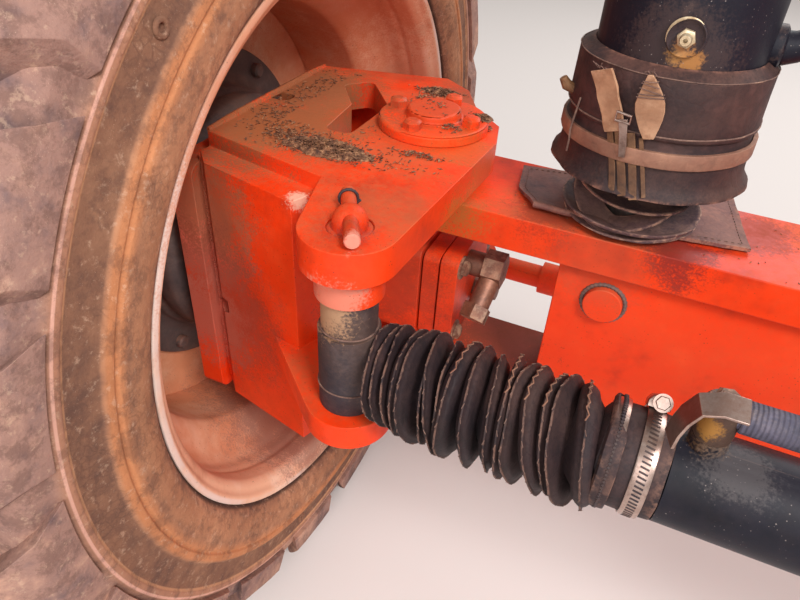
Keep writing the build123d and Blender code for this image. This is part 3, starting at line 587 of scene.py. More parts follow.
class Finish(Tree):
    """A material whose Principled shader is fed by the groups."""

    def __init__(self, name, roughness=0.6, metallic=0.0, specular=0.5):
        material = bpy.data.materials.new(name)
        material.use_nodes = True
        super().__init__(material.node_tree)
        self.material = material
        self.shader = self.tree.nodes["Principled BSDF"]
        self.shader.inputs["Roughness"].default_value = roughness
        self.shader.inputs["Metallic"].default_value = metallic
        self.shader.inputs["Specular IOR Level"].default_value = specular
        self.place = self.object_place()

    def mottle(self, light, main, dark, scale=12.0, contrast=1.0):
        node = self.group(
            GROUPS["mottle"], Vector=self.place, Light=light, Main=main, Dark=dark, Scale=scale, Contrast=contrast)
        return node.outputs["Color"]

    def dust(self, base, dust, cover=0.5, upward=1.0, scale=9.0):
        return self.group(
            GROUPS["dust"], Vector=self.place, Color=base, Dust=dust, Cover=cover, Upward=upward, Scale=scale)

    def specks(self, base, speck, scale=160.0, size=0.2, cover=0.7):
        node = self.group(
            GROUPS["specks"], Vector=self.place, Color=base, Speck=speck, Scale=scale, Size=size, Cover=cover)
        return node.outputs["Color"]

    def worn(self, base, bare, scale=40.0, amount=0.6):
        mask = self.group(GROUPS["wear"], Vector=self.place, Scale=scale, Amount=amount).outputs["Mask"]
        return self.mix(mask, base, bare)

    def stain_and_shade_patch(self, base, tone, centre, reach, cover):
        mask = self.group(GROUPS["patch"], Vector=self.place, Centre=centre, Reach=reach).outputs["Mask"]
        return self.mix(self.times(mask, cover), base, tone)

    def stain_and_shade_patches(self, base, rows):
        """Lay a patch of colour for each row, dirt marks and painted shade among them; each row is a centre, reach,
        cover and tone.
        """
        for centre, reach, cover, tone in rows:
            base = self.stain_and_shade_patch(base, colour(*tone), centre, reach, cover)
        return base

    def height(self, scale=300.0, lumps=0.4):
        return self.group(GROUPS["grain"], Vector=self.place, Scale=scale, Lumps=lumps).outputs["Height"]

    def finish(self, base, height=None, strength=0.2, depth=0.001, rough=None):
        self.feed(self.shader.inputs["Base Color"], base)
        if height is not None:
            bump = self.node("Bump", values={"Strength": strength, "Distance": depth, "Height": height})
            self.feed(self.shader.inputs["Normal"], bump.outputs[0])
        if rough is not None:
            self.feed(self.shader.inputs["Roughness"], rough)
        return self.material


MATERIALS = {}


# Colour patches as (centre at the right-hand end in metres, reach, cover, tone): dirt marks and dust, a brown patch low
# on the knuckle's front side, and painted shade on the beam's lower bar
FRAME_STAINS_AND_SHADE = (
    ((0.940, -0.080, 0.178), 0.095, 0.95, (158, 96, 60)),
    ((0.955, 0.03, 0.178), 0.095, 0.95, (146, 88, 56)),
    ((0.985, -0.135, 0.070), 0.090, 0.75, (200, 116, 96)),
    ((0.870, -0.100, 0.165), 0.050, 0.60, (160, 92, 60)),
    ((0.750, -0.095, 0.122), 0.058, 0.85, (180, 102, 48)),
    ((0.810, -0.070, 0.020), 0.085, 0.50, (140, 52, 38)),
    ((0.885, -0.03, 0.178), 0.075, 0.75, (160, 92, 58)),
    ((0.960, -0.150, 0.110), 0.075, 0.75, (160, 96, 66)),
    # a brown patch low on the knuckle's front side
    ((0.965, -0.155, -0.010), 0.110, 0.60, (150, 74, 58)),
    ((0.800, 0.085, 0.178), 0.050, 0.65, (150, 88, 58)),
    ((0.7935, 0.0, 0.190), 0.062, 0.45, (160, 74, 46)),
    ((0.745, -0.040, 0.160), 0.050, 0.45, (176, 96, 48)),
    ((0.7745, -0.222, 0.152), 0.034, 0.55, (138, 78, 72)),
    ((0.850, -0.176, 0.158), 0.013, 0.80, (230, 186, 160)),
    ((0.7545, -0.2566, 0.185), 0.011, 0.85, (222, 142, 122)),
    ((0.7745, -0.2550, 0.122), 0.034, 0.70, (208, 136, 114)),
    # painted shade: dark brown over the beam's lower bar, over its dust
    ((0.680, 0.030, -0.093), 0.110, 0.85, (104, 46, 28)),
    ((0.985, -0.135, -0.040), 0.080, 0.60, (190, 106, 88)),
    ((0.528, -0.052, 0.131), 0.040, 0.75, (98, 38, 38)),
    ((0.470, 0.020, 0.131), 0.055, 0.60, (116, 42, 40)),
    ((0.655, -0.035, 0.131), 0.040, 0.50, (112, 44, 38)),
    ((0.590, -0.064, 0.095), 0.060, 0.30, (170, 84, 60)),
)


def orange_paint(tint):
    t = Finish("Orange paint", 0.42, 0.0, 0.18)
    base = t.mottle(tint["light"], tint["main"], tint["dark"], 7.0, 1.2)
    base = t.worn(base, colour(140, 46, 30), 60.0, 0.6)
    dusted = t.dust(base, colour(176, 98, 60), 0.62, 0.8, 9.0)
    # dirt marks, with painted shade on the beam's lower bar
    base = t.stain_and_shade_patches(dusted.outputs["Color"], FRAME_STAINS_AND_SHADE)
    base = t.specks(base, colour(112, 52, 38), 300.0, 0.2, 0.6)
    rough = t.node("MapRange", dusted.outputs["Mask"], 0.0, 1.0, 0.40, 0.85).outputs[0]
    return t.finish(base, t.height(520.0, 0.9), 0.14, 0.0006, rough)


def tyre_rubber():
    t = Finish("Dusty tyre rubber", 0.9, 0.0, 0.2)
    flank = t.mottle(colour(188, 138, 106), colour(158, 112, 86), colour(116, 84, 70), 11.0, 1.5)
    tread = t.mottle(colour(196, 152, 130), colour(154, 118, 106), colour(104, 86, 88), 9.0, 1.5)
    radius = t.group(GROUPS["radius"], Vector=t.place).outputs["Radius"]
    base = t.mix(t.ramp(radius, 0.432, 0.446), flank, tread)
    creases = t.group(GROUPS["creases"], Vector=t.place, Scale=105.0).outputs["Mask"]
    crumple = t.ramp(t.noise(t.place, 16.0, 3.0, 0.6), 0.46, 0.60)
    crumple = t.times(crumple, t.rest(t.ramp(radius, 0.426, 0.432)))
    base = t.mix(t.times(t.times(creases, crumple), 0.4), base, colour(72, 50, 44))
    for start, full, fade, end, cover, tone in (
            (0.3955, 0.399, 0.424, 0.430, 0.55, colour(98, 68, 56)),
            (0.370, 0.384, 0.392, 0.398, 0.60, colour(206, 132, 84)),
            (0.427, 0.430, 0.436, 0.440, 0.40, colour(186, 132, 108)),
            # painted highlight: the narrow pale band along the crest of the raised ring
            (0.4335, 0.4345, 0.4360, 0.4372, 0.75, colour(222, 170, 152)),
            (0.4250, 0.4265, 0.4275, 0.4290, 0.55, colour(214, 158, 118)),
            (0.343, 0.350, 0.366, 0.376, 0.35, colour(190, 130, 92))):
        band = t.times(t.ramp(radius, start, full), t.rest(t.ramp(radius, fade, end)))
        base = t.mix(t.times(band, cover), base, tone)
    bead = t.rest(t.ramp(radius, 0.3365, 0.341))
    base = t.mix(t.times(bead, 0.85), base, colour(44, 32, 30))
    scrape = t.ramp(t.noise(t.place, 38.0, 9.0, 0.78), 0.47, 0.60)
    base = t.mix(t.times(scrape, 0.42), base, colour(84, 60, 54))
    bloom = t.ramp(t.noise(t.place, 120.0, 6.0, 0.7), 0.55, 0.68)
    base = t.mix(t.times(bloom, 0.35), base, colour(206, 172, 146))
    base = t.specks(base, colour(206, 178, 156), 760.0, 0.2, 0.35)
    return t.finish(base, t.height(230.0, 1.2), 0.65, 0.0014)


def rim_white():
    t = Finish("Dusty rim paint", 0.6, 0.0, 0.3)
    base = t.mottle(colour(244, 206, 180), colour(234, 180, 146), colour(200, 138, 106), 6.0, 1.2)
    base = t.worn(base, colour(120, 84, 70), 50.0, 0.8)
    radius = t.group(GROUPS["radius"], Vector=t.place).outputs["Radius"]
    bed = t.rest(t.ramp(radius, 0.300, 0.318))
    soil = t.ramp(t.noise(t.place, 12.0, 7.0, 0.68), 0.30, 0.60)
    base = t.mix(t.times(t.times(soil, bed), 0.8), base, colour(214, 132, 88))
    base = t.stain_and_shade_patch(base, colour(150, 104, 92), (0.960, -0.040, -0.270), 0.150, 0.65)
    base = t.stain_and_shade_patch(base, colour(212, 112, 66), (0.940, 0.100, 0.260), 0.220, 0.65)
    lip = t.ramp(radius, 0.3265, 0.3295)
    lip = t.times(lip, t.ramp(t.noise(t.place, 5.0, 5.0, 0.7), 0.36, 0.56))
    base = t.mix(t.times(lip, 0.75), base, colour(226, 204, 196))
    base = t.stain_and_shade_patch(base, colour(206, 128, 88), (0.900, -0.130, 0.340), 0.300, 0.65)
    base = t.specks(base, colour(110, 74, 60), 260.0, 0.2, 0.6)
    return t.finish(base, t.height(420.0, 0.8), 0.16, 0.0008)


def drive_black():
    t = Finish("Drive black paint", 0.6)
    base = t.mottle(colour(122, 104, 98), colour(84, 70, 68), colour(52, 44, 46), 9.0, 1.2)
    base = t.worn(base, colour(130, 84, 66), 60.0, 0.7)
    dusted = t.dust(base, colour(138, 104, 86), 0.55, 0.4, 12.0)
    return t.finish(dusted.outputs["Color"], t.height(260.0, 0.8), 0.25, 0.0008)


CYLINDER_STAINS = (
    ((0.577, -0.066, 0.302), 0.011, 0.9, (206, 146, 76)),
    ((0.569, -0.066, 0.297), 0.011, 0.9, (192, 128, 60)),
    ((0.576, -0.072, 0.309), 0.009, 0.8, (186, 122, 60)),
    ((0.478, -0.222, 0.084), 0.018, 0.7, (112, 82, 56)),
    ((0.455, -0.235, 0.074), 0.030, 0.22, (128, 118, 116)),
    ((0.580, -0.060, 0.296), 0.050, 0.35, (92, 70, 64)),
)


def black_paint():
    t = Finish("Black cylinder paint", 0.5, 0.0, 0.2)
    base = t.mottle(colour(38, 34, 42), colour(25, 24, 34), colour(14, 14, 22), 6.0, 1.0)
    base = t.worn(base, colour(84, 66, 62), 60.0, 0.7)
    dusted = t.dust(base, colour(72, 60, 66), 0.14, 0.85, 10.0)
    base = t.stain_and_shade_patches(dusted.outputs["Color"], CYLINDER_STAINS)
    base = t.specks(base, colour(140, 128, 124), 330.0, 0.18, 0.7)
    rough = t.node("MapRange", dusted.outputs["Mask"], 0.0, 1.0, 0.46, 0.85).outputs[0]
    return t.finish(base, t.height(420.0, 0.8), 0.10, 0.0006, rough)


def fitting_steel():
    t = Finish("Brown plated fitting", 0.5, 0.45)
    base = t.mottle(colour(158, 110, 88), colour(116, 78, 64), colour(70, 47, 42), 30.0, 1.3)
    base = t.worn(base, colour(190, 158, 130), 90.0, 0.8)
    dusted = t.dust(base, colour(168, 108, 76), 0.6, 0.7, 26.0)
    base = t.stain_and_shade_patch(dusted.outputs["Color"], colour(74, 56, 48), (0.478, -0.222, 0.100), 0.040, 0.85)
    base = t.stain_and_shade_patch(base, colour(188, 132, 56), (0.486, -0.236, 0.102), 0.012, 0.75)
    return t.finish(base, t.height(500.0, 0.6), 0.2, 0.0005)


def rod_steel():
    t = Finish("Dusty rod steel", 0.32, 0.85)
    base = t.mottle(colour(150, 142, 138), colour(104, 96, 94), colour(64, 58, 58), 22.0, 1.1)
    dusted = t.dust(base, colour(150, 110, 84), 0.7, 0.45, 16.0)
    rough = t.node("MapRange", dusted.outputs["Mask"], 0.0, 1.0, 0.28, 0.8).outputs[0]
    return t.finish(dusted.outputs["Color"], t.height(400.0, 0.5), 0.12, 0.0005, rough)


def pin_iron():
    t = Finish("Pin housing iron", 0.62, 0.2)
    base = t.mottle(colour(78, 66, 68), colour(46, 39, 46), colour(30, 25, 31), 20.0, 1.3)
    base = t.stain_and_shade_patch(base, colour(184, 142, 108), (0.790, -0.240, 0.106), 0.036, 0.9)
    dusted = t.dust(base, colour(150, 110, 84), 0.32, 0.4, 15.0)
    return t.finish(dusted.outputs["Color"], t.height(260.0, 0.9), 0.35, 0.0008)


def clamp_steel():
    t = Finish("Stainless band", 0.3, 0.9)
    base = t.mottle(colour(214, 196, 184), colour(178, 156, 146), colour(120, 96, 88), 40.0, 1.0)
    dusted = t.dust(base, colour(150, 104, 84), 0.55, 0.5, 30.0)
    return t.finish(dusted.outputs["Color"], t.height(700.0, 0.3), 0.08, 0.0004)


def hide(name, tones, crease_scale=60.0, crease=0.16, dust=0.4):
    """Worn leather with cracks and dust; tones run from light to dark, the rubbed edges last."""
    t = Finish(name, 0.66, 0.0, 0.35)
    light, main, dark, edge = (colour(*tone) for tone in tones)
    base = t.mottle(light, main, dark, 14.0, 1.4)
    creases = t.group(GROUPS["creases"], Vector=t.place, Scale=crease_scale)
    base = t.mix(t.times(creases.outputs["Mask"], crease), base, dark)
    base = t.worn(base, edge, 70.0, 1.0)
    dusted = t.dust(base, edge, dust, 0.7, 18.0)
    lift = t.plus(t.times(creases.outputs["Height"], 0.5), t.height(340.0, 0.8))
    return t.finish(dusted.outputs["Color"], lift, 0.30, 0.0008)


def hose_cover():
    t = Finish("Woven hose cover", 0.7)
    base = t.mottle(colour(104, 98, 116), colour(72, 68, 84), colour(42, 39, 50), 24.0, 1.1)
    weave = t.node("TexWave", wave_type="BANDS", bands_direction="X", values={"Scale": 95.0, "Distortion": 1.2})
    t.feed(weave.inputs["Vector"], t.place)
    dusted = t.dust(base, colour(150, 130, 122), 0.5, 0.8, 20.0)
    return t.finish(dusted.outputs["Color"], weave.outputs["Fac"], 0.5, 0.0012)


def plain(name, roughness, metallic, tones, patches, grain, bump):
    """A mottled finish with nothing on it; tones run from light to dark."""
    t = Finish(name, roughness, metallic)
    base = t.mottle(*(colour(*tone) for tone in tones), *patches)
    return t.finish(base, t.height(*grain), *bump)


def build_materials(colours):
    paint = {"light": colours.paint_light, "main": colours.paint, "dark": colours.paint_dark}
    MATERIALS.update({
        "orange": orange_paint({tone: (*value, 1.0) for tone, value in paint.items()}),
        "tyre": tyre_rubber(), "rim": rim_white(), "drive": drive_black(), "black": black_paint(),
        "fitting": fitting_steel(), "rod": rod_steel(), "pin": pin_iron(), "clamp": clamp_steel(),
        "gaiter": hide(
            "Gaiter hide", ((62, 42, 42), (41, 28, 31), (23, 17, 21), (112, 80, 68)), 70.0, dust=0.3),
        "boot": hide("Boot hide", ((72, 46, 44), (46, 29, 30), (25, 17, 20), (124, 84, 70))),
        # the bowls' hide is the boot's hide painted lighter, which stands in for light falling on them
        "folds_painted_lighter": hide("Fold hide", ((112, 82, 82), (76, 55, 62), (46, 34, 42), (176, 134, 114))),
        "lace": hide("Lace hide", ((134, 94, 62), (92, 62, 44), (50, 34, 28), (150, 110, 78))),
        "mat": hide("Mat hide", ((162, 106, 90), (112, 72, 68), (70, 46, 50), (160, 108, 88))),
        "strap": hide("Strap hide", ((156, 110, 88), (128, 86, 70), (84, 58, 50), (176, 134, 108)), 60.0, 0.08),
        "tab": hide("Torn tab hide", ((186, 140, 108), (156, 112, 84), (108, 74, 58), (206, 164, 132)), 50.0, 0.14),
        "hose": hose_cover(),
        # pale steel of the bleed nipple, also used for the painted highlight arc on its dish
        "nipple": plain(
            "Pale nipple steel", 0.4, 0.5, ((226, 210, 182), (196, 172, 138), (136, 100, 70)), (60.0, 1.2),
            (600.0, 0.6), (0.15, 0.0004)),
        "bronze": plain(
            "Bush bronze", 0.4, 0.9, ((190, 150, 98), (150, 112, 70), (100, 72, 48)), (30.0, 1.0),
            (500.0, 0.4), (0.12, 0.0004)),
        "chaff": plain(
            "Dry chaff", 0.9, 0.0, ((178, 130, 92), (120, 80, 56), (62, 38, 30)), (190.0, 1.7),
            (900.0, 0.5), (0.4, 0.0006)),
        "thread": plain(
            "Faded thread", 0.85, 0.0, ((150, 118, 100), (112, 84, 74), (70, 50, 46)), (90.0, 1.2),
            (1200.0, 0.3), (0.4, 0.0004)),
    })


# Wheels

def tyre_profile(sizes):
    """Closed half-symmetric section of the carcass, as (along, radius)."""
    flank = [
        (152.5, 318.4), (156, 331), (165.5, 336.5), (171, 344), (175.6, 358), (177.3, 372), (177.4, 382),
        (174.9, 383.6), (174.9, 385.6), (176.8, 387.2), (175.8, 395.2), (173.2, 396.8), (172.0, 402), (168.5, 426),
        (170.8, 429.4), (170.0, 437.5), (166.4, 440.5), (164.2, 446), (162, 462), (152, 473), (132, 477.5),
    ]
    crown = TYRE_R - sizes.lug_depth / MM
    line = flank + [(60, crown), (0, crown + 0.6), (-60, crown)] + [(-x, r) for x, r in reversed(flank)]
    scale = TYRE_HALF / DRAWN_HALF
    return [(x * scale, r) for x, r in line]


LUG_PLAN = [(-51.5, -103.7), (88.8, -103.7), (177.5, -14.4), (177.5, 103.7), (71, -3.2), (71, -43.1), (-51.5, -43.1)]
LUG_FOOT = -64.0
SHOULDER_START = 147.5
SHOULDER_DROP = 42.0


def tread_bars(hand, sizes):
    """All the bars of one tyre, wrapped round the crown with drafted flanks."""
    bar = bmesh.new()
    top = inset(LUG_PLAN, sizes.lug_draft / MM)
    foot = [(min(x, TYRE_HALF - 4.0), w) for x, w in inset(LUG_PLAN, -sizes.lug_draft / MM * 0.6)]
    low_ring = [bar.verts.new((x, w, LUG_FOOT)) for x, w in foot]
    high_ring = [bar.verts.new((x, w, 0.0)) for x, w in top]
    count = len(LUG_PLAN)
    bar.faces.new(list(reversed(low_ring)))
    bar.faces.new(high_ring)
    for i in range(count):
        bar.faces.new([low_ring[i], low_ring[(i + 1) % count], high_ring[(i + 1) % count], high_ring[i]])
    cuts = [((0, w, 0), (0, 1, 0)) for w in range(-98, 104, 14)]
    cuts += [((x, 0, 0), (1, 0, 0)) for x in (140.0, SHOULDER_START, 158.0, 168.0)]
    for spot, normal in cuts:
        everything = bar.verts[:] + bar.edges[:] + bar.faces[:]
        bmesh.ops.bisect_plane(bar, geom=everything, plane_co=spot, plane_no=normal, dist=0.01)
    bar.normal_update()
    corners = [vert.co.copy() for vert in bar.verts]
    bar.verts.index_update()
    faces = [[vert.index for vert in face.verts] for face in bar.faces]
    bar.free()
    step = math.tau / sizes.lug_count
    shape = Shape(hand)
    for mirror_side in (1, -1):
        for number in range(sizes.lug_count):
            turn = (number + (0.5 if mirror_side < 0 else 0.0)) * step
            points = []
            for corner in corners:
                fall = max(0.0, (corner.x - SHOULDER_START) / (TYRE_HALF - SHOULDER_START))
                lift = 1 + corner.z / -LUG_FOOT if corner.z < 0 else 1.0
                radius = TYRE_R + corner.z - SHOULDER_DROP * fall ** 1.2 * lift
                worn = 1.2 * noise.noise(Vector((corner.x * 0.03, corner.y * 0.03, number * 3.1 + mirror_side)))
                radius += min(0.0, worn - 0.6) if corner.z > -1 else 0.0
                angle = corner.y / TYRE_R + turn
                x = corner.x * mirror_side
                points.append(about(WHEEL_X + x, radius, angle))
            shape.add(points, faces)
    return shape


def add_tyre(hand, sizes):
    shape = Shape(hand)
    shape.turned(soften(tyre_profile(sizes), 2.2, 2), (WHEEL_X, 0, 0), steps=180)
    shape.put("tyre_carcass", "tyre", "wheel", "tyre", slot="tyre_rubber", smooth=50)
    tread_bars(hand, sizes).put("tyre_tread", "tyre", "wheel", bevel=2.4, slot="tyre_rubber")
    marks = Shape(hand)
    for number in range(3):
        angle = math.radians(200 + number * 120)
        for face in (-1, 1):
            spot = about(WHEEL_X + face * 171.0, 411, angle)
            marks.turned(soften([(0, 3), (0, 8), (2.4, 7), (2.4, 4)], 0.8, 2), spot, (face, 0, 0), 20)
    for angle in angles(120):
        spot = about(WHEEL_X - 176.4, 377, angle)
        marks.disc([(0.0, 1.6), (-0.9, 1.2)], spot, (1, 0, 0), 6)
    marks.put("tyre_marks", "tyre", "wheel")


def add_rim(hand):
    inner = WHEEL_X - RIM_HALF
    outer = WHEEL_X + RIM_HALF
    disc_in = WHEEL_X + DISC_OFFSET
    section = [
        (inner + 0.2, 335), (inner + 0.2, 326.5), (inner + 6, 322), (inner + 9, 316), (inner + 15, 310.5),
        (inner + 34, 309), (inner + 40, 311), (inner + 47, 309), (inner + 62, 308.5), (inner + 74, 300),
        (inner + 92, 276), (inner + 104, 266.5), (outer - 78, 266.5), (outer - 62, 308.5), (outer - 40, 310),
        (outer - 15, 310.5), (outer - 6, 322), (outer - 0.2, 326.5), (outer - 0.2, 335), (outer - 5, 334),
        (outer - 12, 318), (outer - 64, 318), (outer - 80, 274), (inner + 108, 274), (inner + 66, 318),
        (inner + 12, 318), (inner + 5, 334),
    ]
    shape = Shape(hand)
    shape.turned(soften(section, 5.0, 3), (0, 0, 0), steps=160)
    plate = [
        (disc_in, 120.6), (disc_in + 14, 120.6), (disc_in + 14, 236), (disc_in + 6, 250), (disc_in + 2, 267.5),
        (disc_in - 9, 267.5), (disc_in - 5, 247), (disc_in, 235),
    ]
    shape.turned(soften(plate, 4.0, 3), (0, 0, 0), steps=128)
    bead = [about(disc_in + 8, 266.5, angle) for angle in angles(180)]
    shape.tube(bead, [4.2 + 0.8 * math.sin(step * 2.3) for step in range(180)], 8, closed=True)
    valve = math.radians(150)
    spot = about(inner + 58, 300, valve)
    shape.put("rim_dressed", "rim", "wheel", "rim", slot="rim_white", smooth=45)
    stem = Shape(hand)
    stem.disc([(0, 11), (3, 11), (5, 7), (26, 6.5), (28, 5), (40, 5), (42, 3.5)], spot, (-0.5, -0.5, 0.6), 20)
    stem.put("valve", "fitting", "wheel")
    nuts = Shape(hand)
    for angle in angles(10):
        at = about(disc_in + 13.6, WHEEL_NUT_R, angle)
        nuts.bolt(at, (1, 0, 0), 27.0, 18.0)
        nuts.disc([(14, 8), (27, 8), (28.5, 6.5)], at, (1, 0, 0), 16)
    nuts.put("wheel_nuts", "fitting", "wheel")


def add_hub(hand):
    face = low("hub_right").x
    flange = WHEEL_X + 24.5
    end = high("hub_right").x
    shaft = 70.05
    section = [
        (face, shaft), (face, 132), (face + 4, 147), (face + 12, 155), (flange - 28, 155), (flange - 24, 150),
        (flange - 16, 150), (flange - 12, 158), (flange - 5, 160), (flange, 172), (flange, 204), (flange + 10, 204),
        (flange + 10, 120), (flange + 40, 120), (flange + 42, 116), (flange + 46, 116), (flange + 48, 120),
        (end - 16, 120), (end - 8, 112), (end - 2, 98), (end - 2, 62), (end, 60), (end, 30), (end - 5, 26),
        (end - 5, 0), (end - 24, 0), (end - 24, shaft),
    ]
    shape = Shape(hand)
    shape.turned(soften(section, 3.0, 2), (0, 0, 0), steps=128, closed=True)
    for angle in angles(12, 0.5):
        spot = about(end - 2.2, HUB_BOLT_R, angle)
        shape.bolt(spot, (1, 0, 0), 13.0, 8.0, washer=False)
    for angle in angles(10):
        spot = about(flange + 0.4, 187, angle)
        shape.disc([(0, 9), (-7, 9), (-9, 7)], spot, (1, 0, 0), 16)
    shape.put("hub_dressed", "drive", "wheel", "hub", slot="drive_black")
    softened("spindle_" + hand, "drive", "drive_black", 2.0)


# Knuckle and what it carries

def ripple_weld(shape, start, end, width=5.0, pitch=3.2):
    """A weld bead of overlapping ripples between two points."""
    start = Vector(start)
    end = Vector(end)
    count = max(3, int((end - start).length / pitch))
    path = []
    radii = []
    for step in range(count * 2 + 1):
        t = step / (count * 2)
        wander = noise.noise_vector(start * 0.1 + Vector((step * 0.7, 0, 0))) * 0.5
        path.append(start.lerp(end, t) + wander)
        radii.append(width * (1.0 if step % 2 else 0.88) * min(1.0, 0.6 + 3 * min(t, 1 - t)))
    shape.tube(path, radii, 8)


def add_steer_pin(hand):
    """Pin with a small domed head, crossed by a rod with a clip, and its flanged foot."""
    foot = low("steer_pin_right").z
    lower_end = PLATE_UNDER - 29.8
    shape = Shape(hand)
    shape.disc([(lower_end, 18.9), (PLATE_TOP - 2.0, 18.9), (PLATE_TOP - 0.8, 17.4)], (PIN_X, PIN_Y, 0), (0, 0, 1), 48)
    dome = soften([(-2, 14.6), (7, 14.4), (12, 12.4), (16, 8.6), (17.6, 4)], 2.0, 2, closed=False)
    shape.disc(dome, (PIN_X, PIN_Y, PLATE_TOP), (0, 0, 1), 40)
    stub = [(0, 22), (1.6, 24.8), (6, 24.8), (6.1, 18.9), (33.8, 18.9)]
    shape.disc(stub, (PIN_X, PIN_Y, foot), (0, 0, 1), 48)
    turn = math.radians(30)
    back = Vector((math.sin(turn), math.cos(turn), 0))
    middle_of_rod = Vector((PIN_X, PIN_Y, PLATE_TOP + 9.0))
    shape.disc([(-39, 5.4), (-37.8, 6.4), (37.8, 6.4), (39, 5.4)], middle_of_rod, back, 28)
    shape.put("steer_pin_dressed", "orange", "steer", "steer_pin", slot="orange_paint", smooth=35)
    clip = Shape(hand)
    across = Vector((back.y, -back.x, 0))
    loop = []
    for step in range(13):
        angle = math.radians(-70 + 25 * step)
        level = across * (7.6 * math.cos(angle))
        loop.append(middle_of_rod + back * 29 + level + up_by(7.6 * math.sin(angle)))
    loop.append(loop[-1] - across * 5 + up_by(4))
    clip.tube(loop, 1.3, 8)
    clip.put("pin_clip", "pin", "steer")


def add_knuckle(hand):
    softened("knuckle_" + hand, "orange", "orange_paint", 2.2, 3)
    softened("kingpins_" + hand, "orange", "orange_paint", 1.6)
    add_steer_pin(hand)
    softened("tie_rod_pin_" + hand, "drive", "drive_black", 1.4)
    extras = Shape(hand)
    disc_top = PLATE_TOP + FLANGE_TALL
    for sign in (1, -1):
        for quarter in range(4):
            angle = math.radians(90 * quarter + 8)
            spot = (KINGPIN_X + 43 * math.cos(angle), 43 * math.sin(angle), sign * (disc_top - 0.2))
            extras.bolt(spot, (0, 0, sign), 17.0, 9.0, washer=False)
    for z in (176.0, -176.0):
        ripple_weld(extras, (KNUCKLE_END_X, -126, z), (KNUCKLE_END_X, 106, z), 4.5)
    for y in (-141, 121):
        ripple_weld(extras, (KNUCKLE_END_X, y, -140), (KNUCKLE_END_X, y, 158), 5.0)
    extras.put("knuckle_details", "orange", "steer")


def add_motor(hand):
    softened("drive_motor_" + hand, "orange", "orange_paint", 1.8)
    softened("motor_fittings_" + hand, "fitting", "fitting_steel", 1.2)
    bolts = Shape(hand)
    for y in (-44, 44):
        for z in (-44, 44):
            bolts.bolt((MOTOR_END_X + 0.4, y, z), (-1, 0, 0), 16.0, 9.0)
    for y in (-66, 66):
        for z in (-66, 66):
            bolts.bolt((MOTOR_FLANGE_X, y, z), (-1, 0, 0), 17.0, 10.0)
    bolts.put("motor_bolts", "fitting", "steer")


# Steering cylinder

def add_rod(hand):
    softened("steer_rod_" + hand, "pin", "rod_steel", 1.6)
    seams = Shape(hand)
    for level, radius in ((79.0, 25.6), (15.0, 28.2)):
        ring = [
            (PIN_X + radius * math.cos(a), PIN_Y + radius * math.sin(a), level + 0.5 * math.sin(3 * a))
            for a in angles(64)
        ]
        seams.tube(ring, 0.9, 6, closed=True)
    seams.put("rod_seams", "thread", "rod")


def gaiter_rings(rng, count, start, end):
    """Places of the gaiter's discs, some of them pressed together in pairs."""
    weights = [rng.choice((0.5, 1.0, 1.3, 1.6)) * (1.15 - 0.45 * index / count) for index in range(count)]
    total = sum(weights)
    places = []
    along = start
    for weight in weights:
        width = (end - start) * weight / total
        places.append((along + width / 2, width))
        along += width
    return places


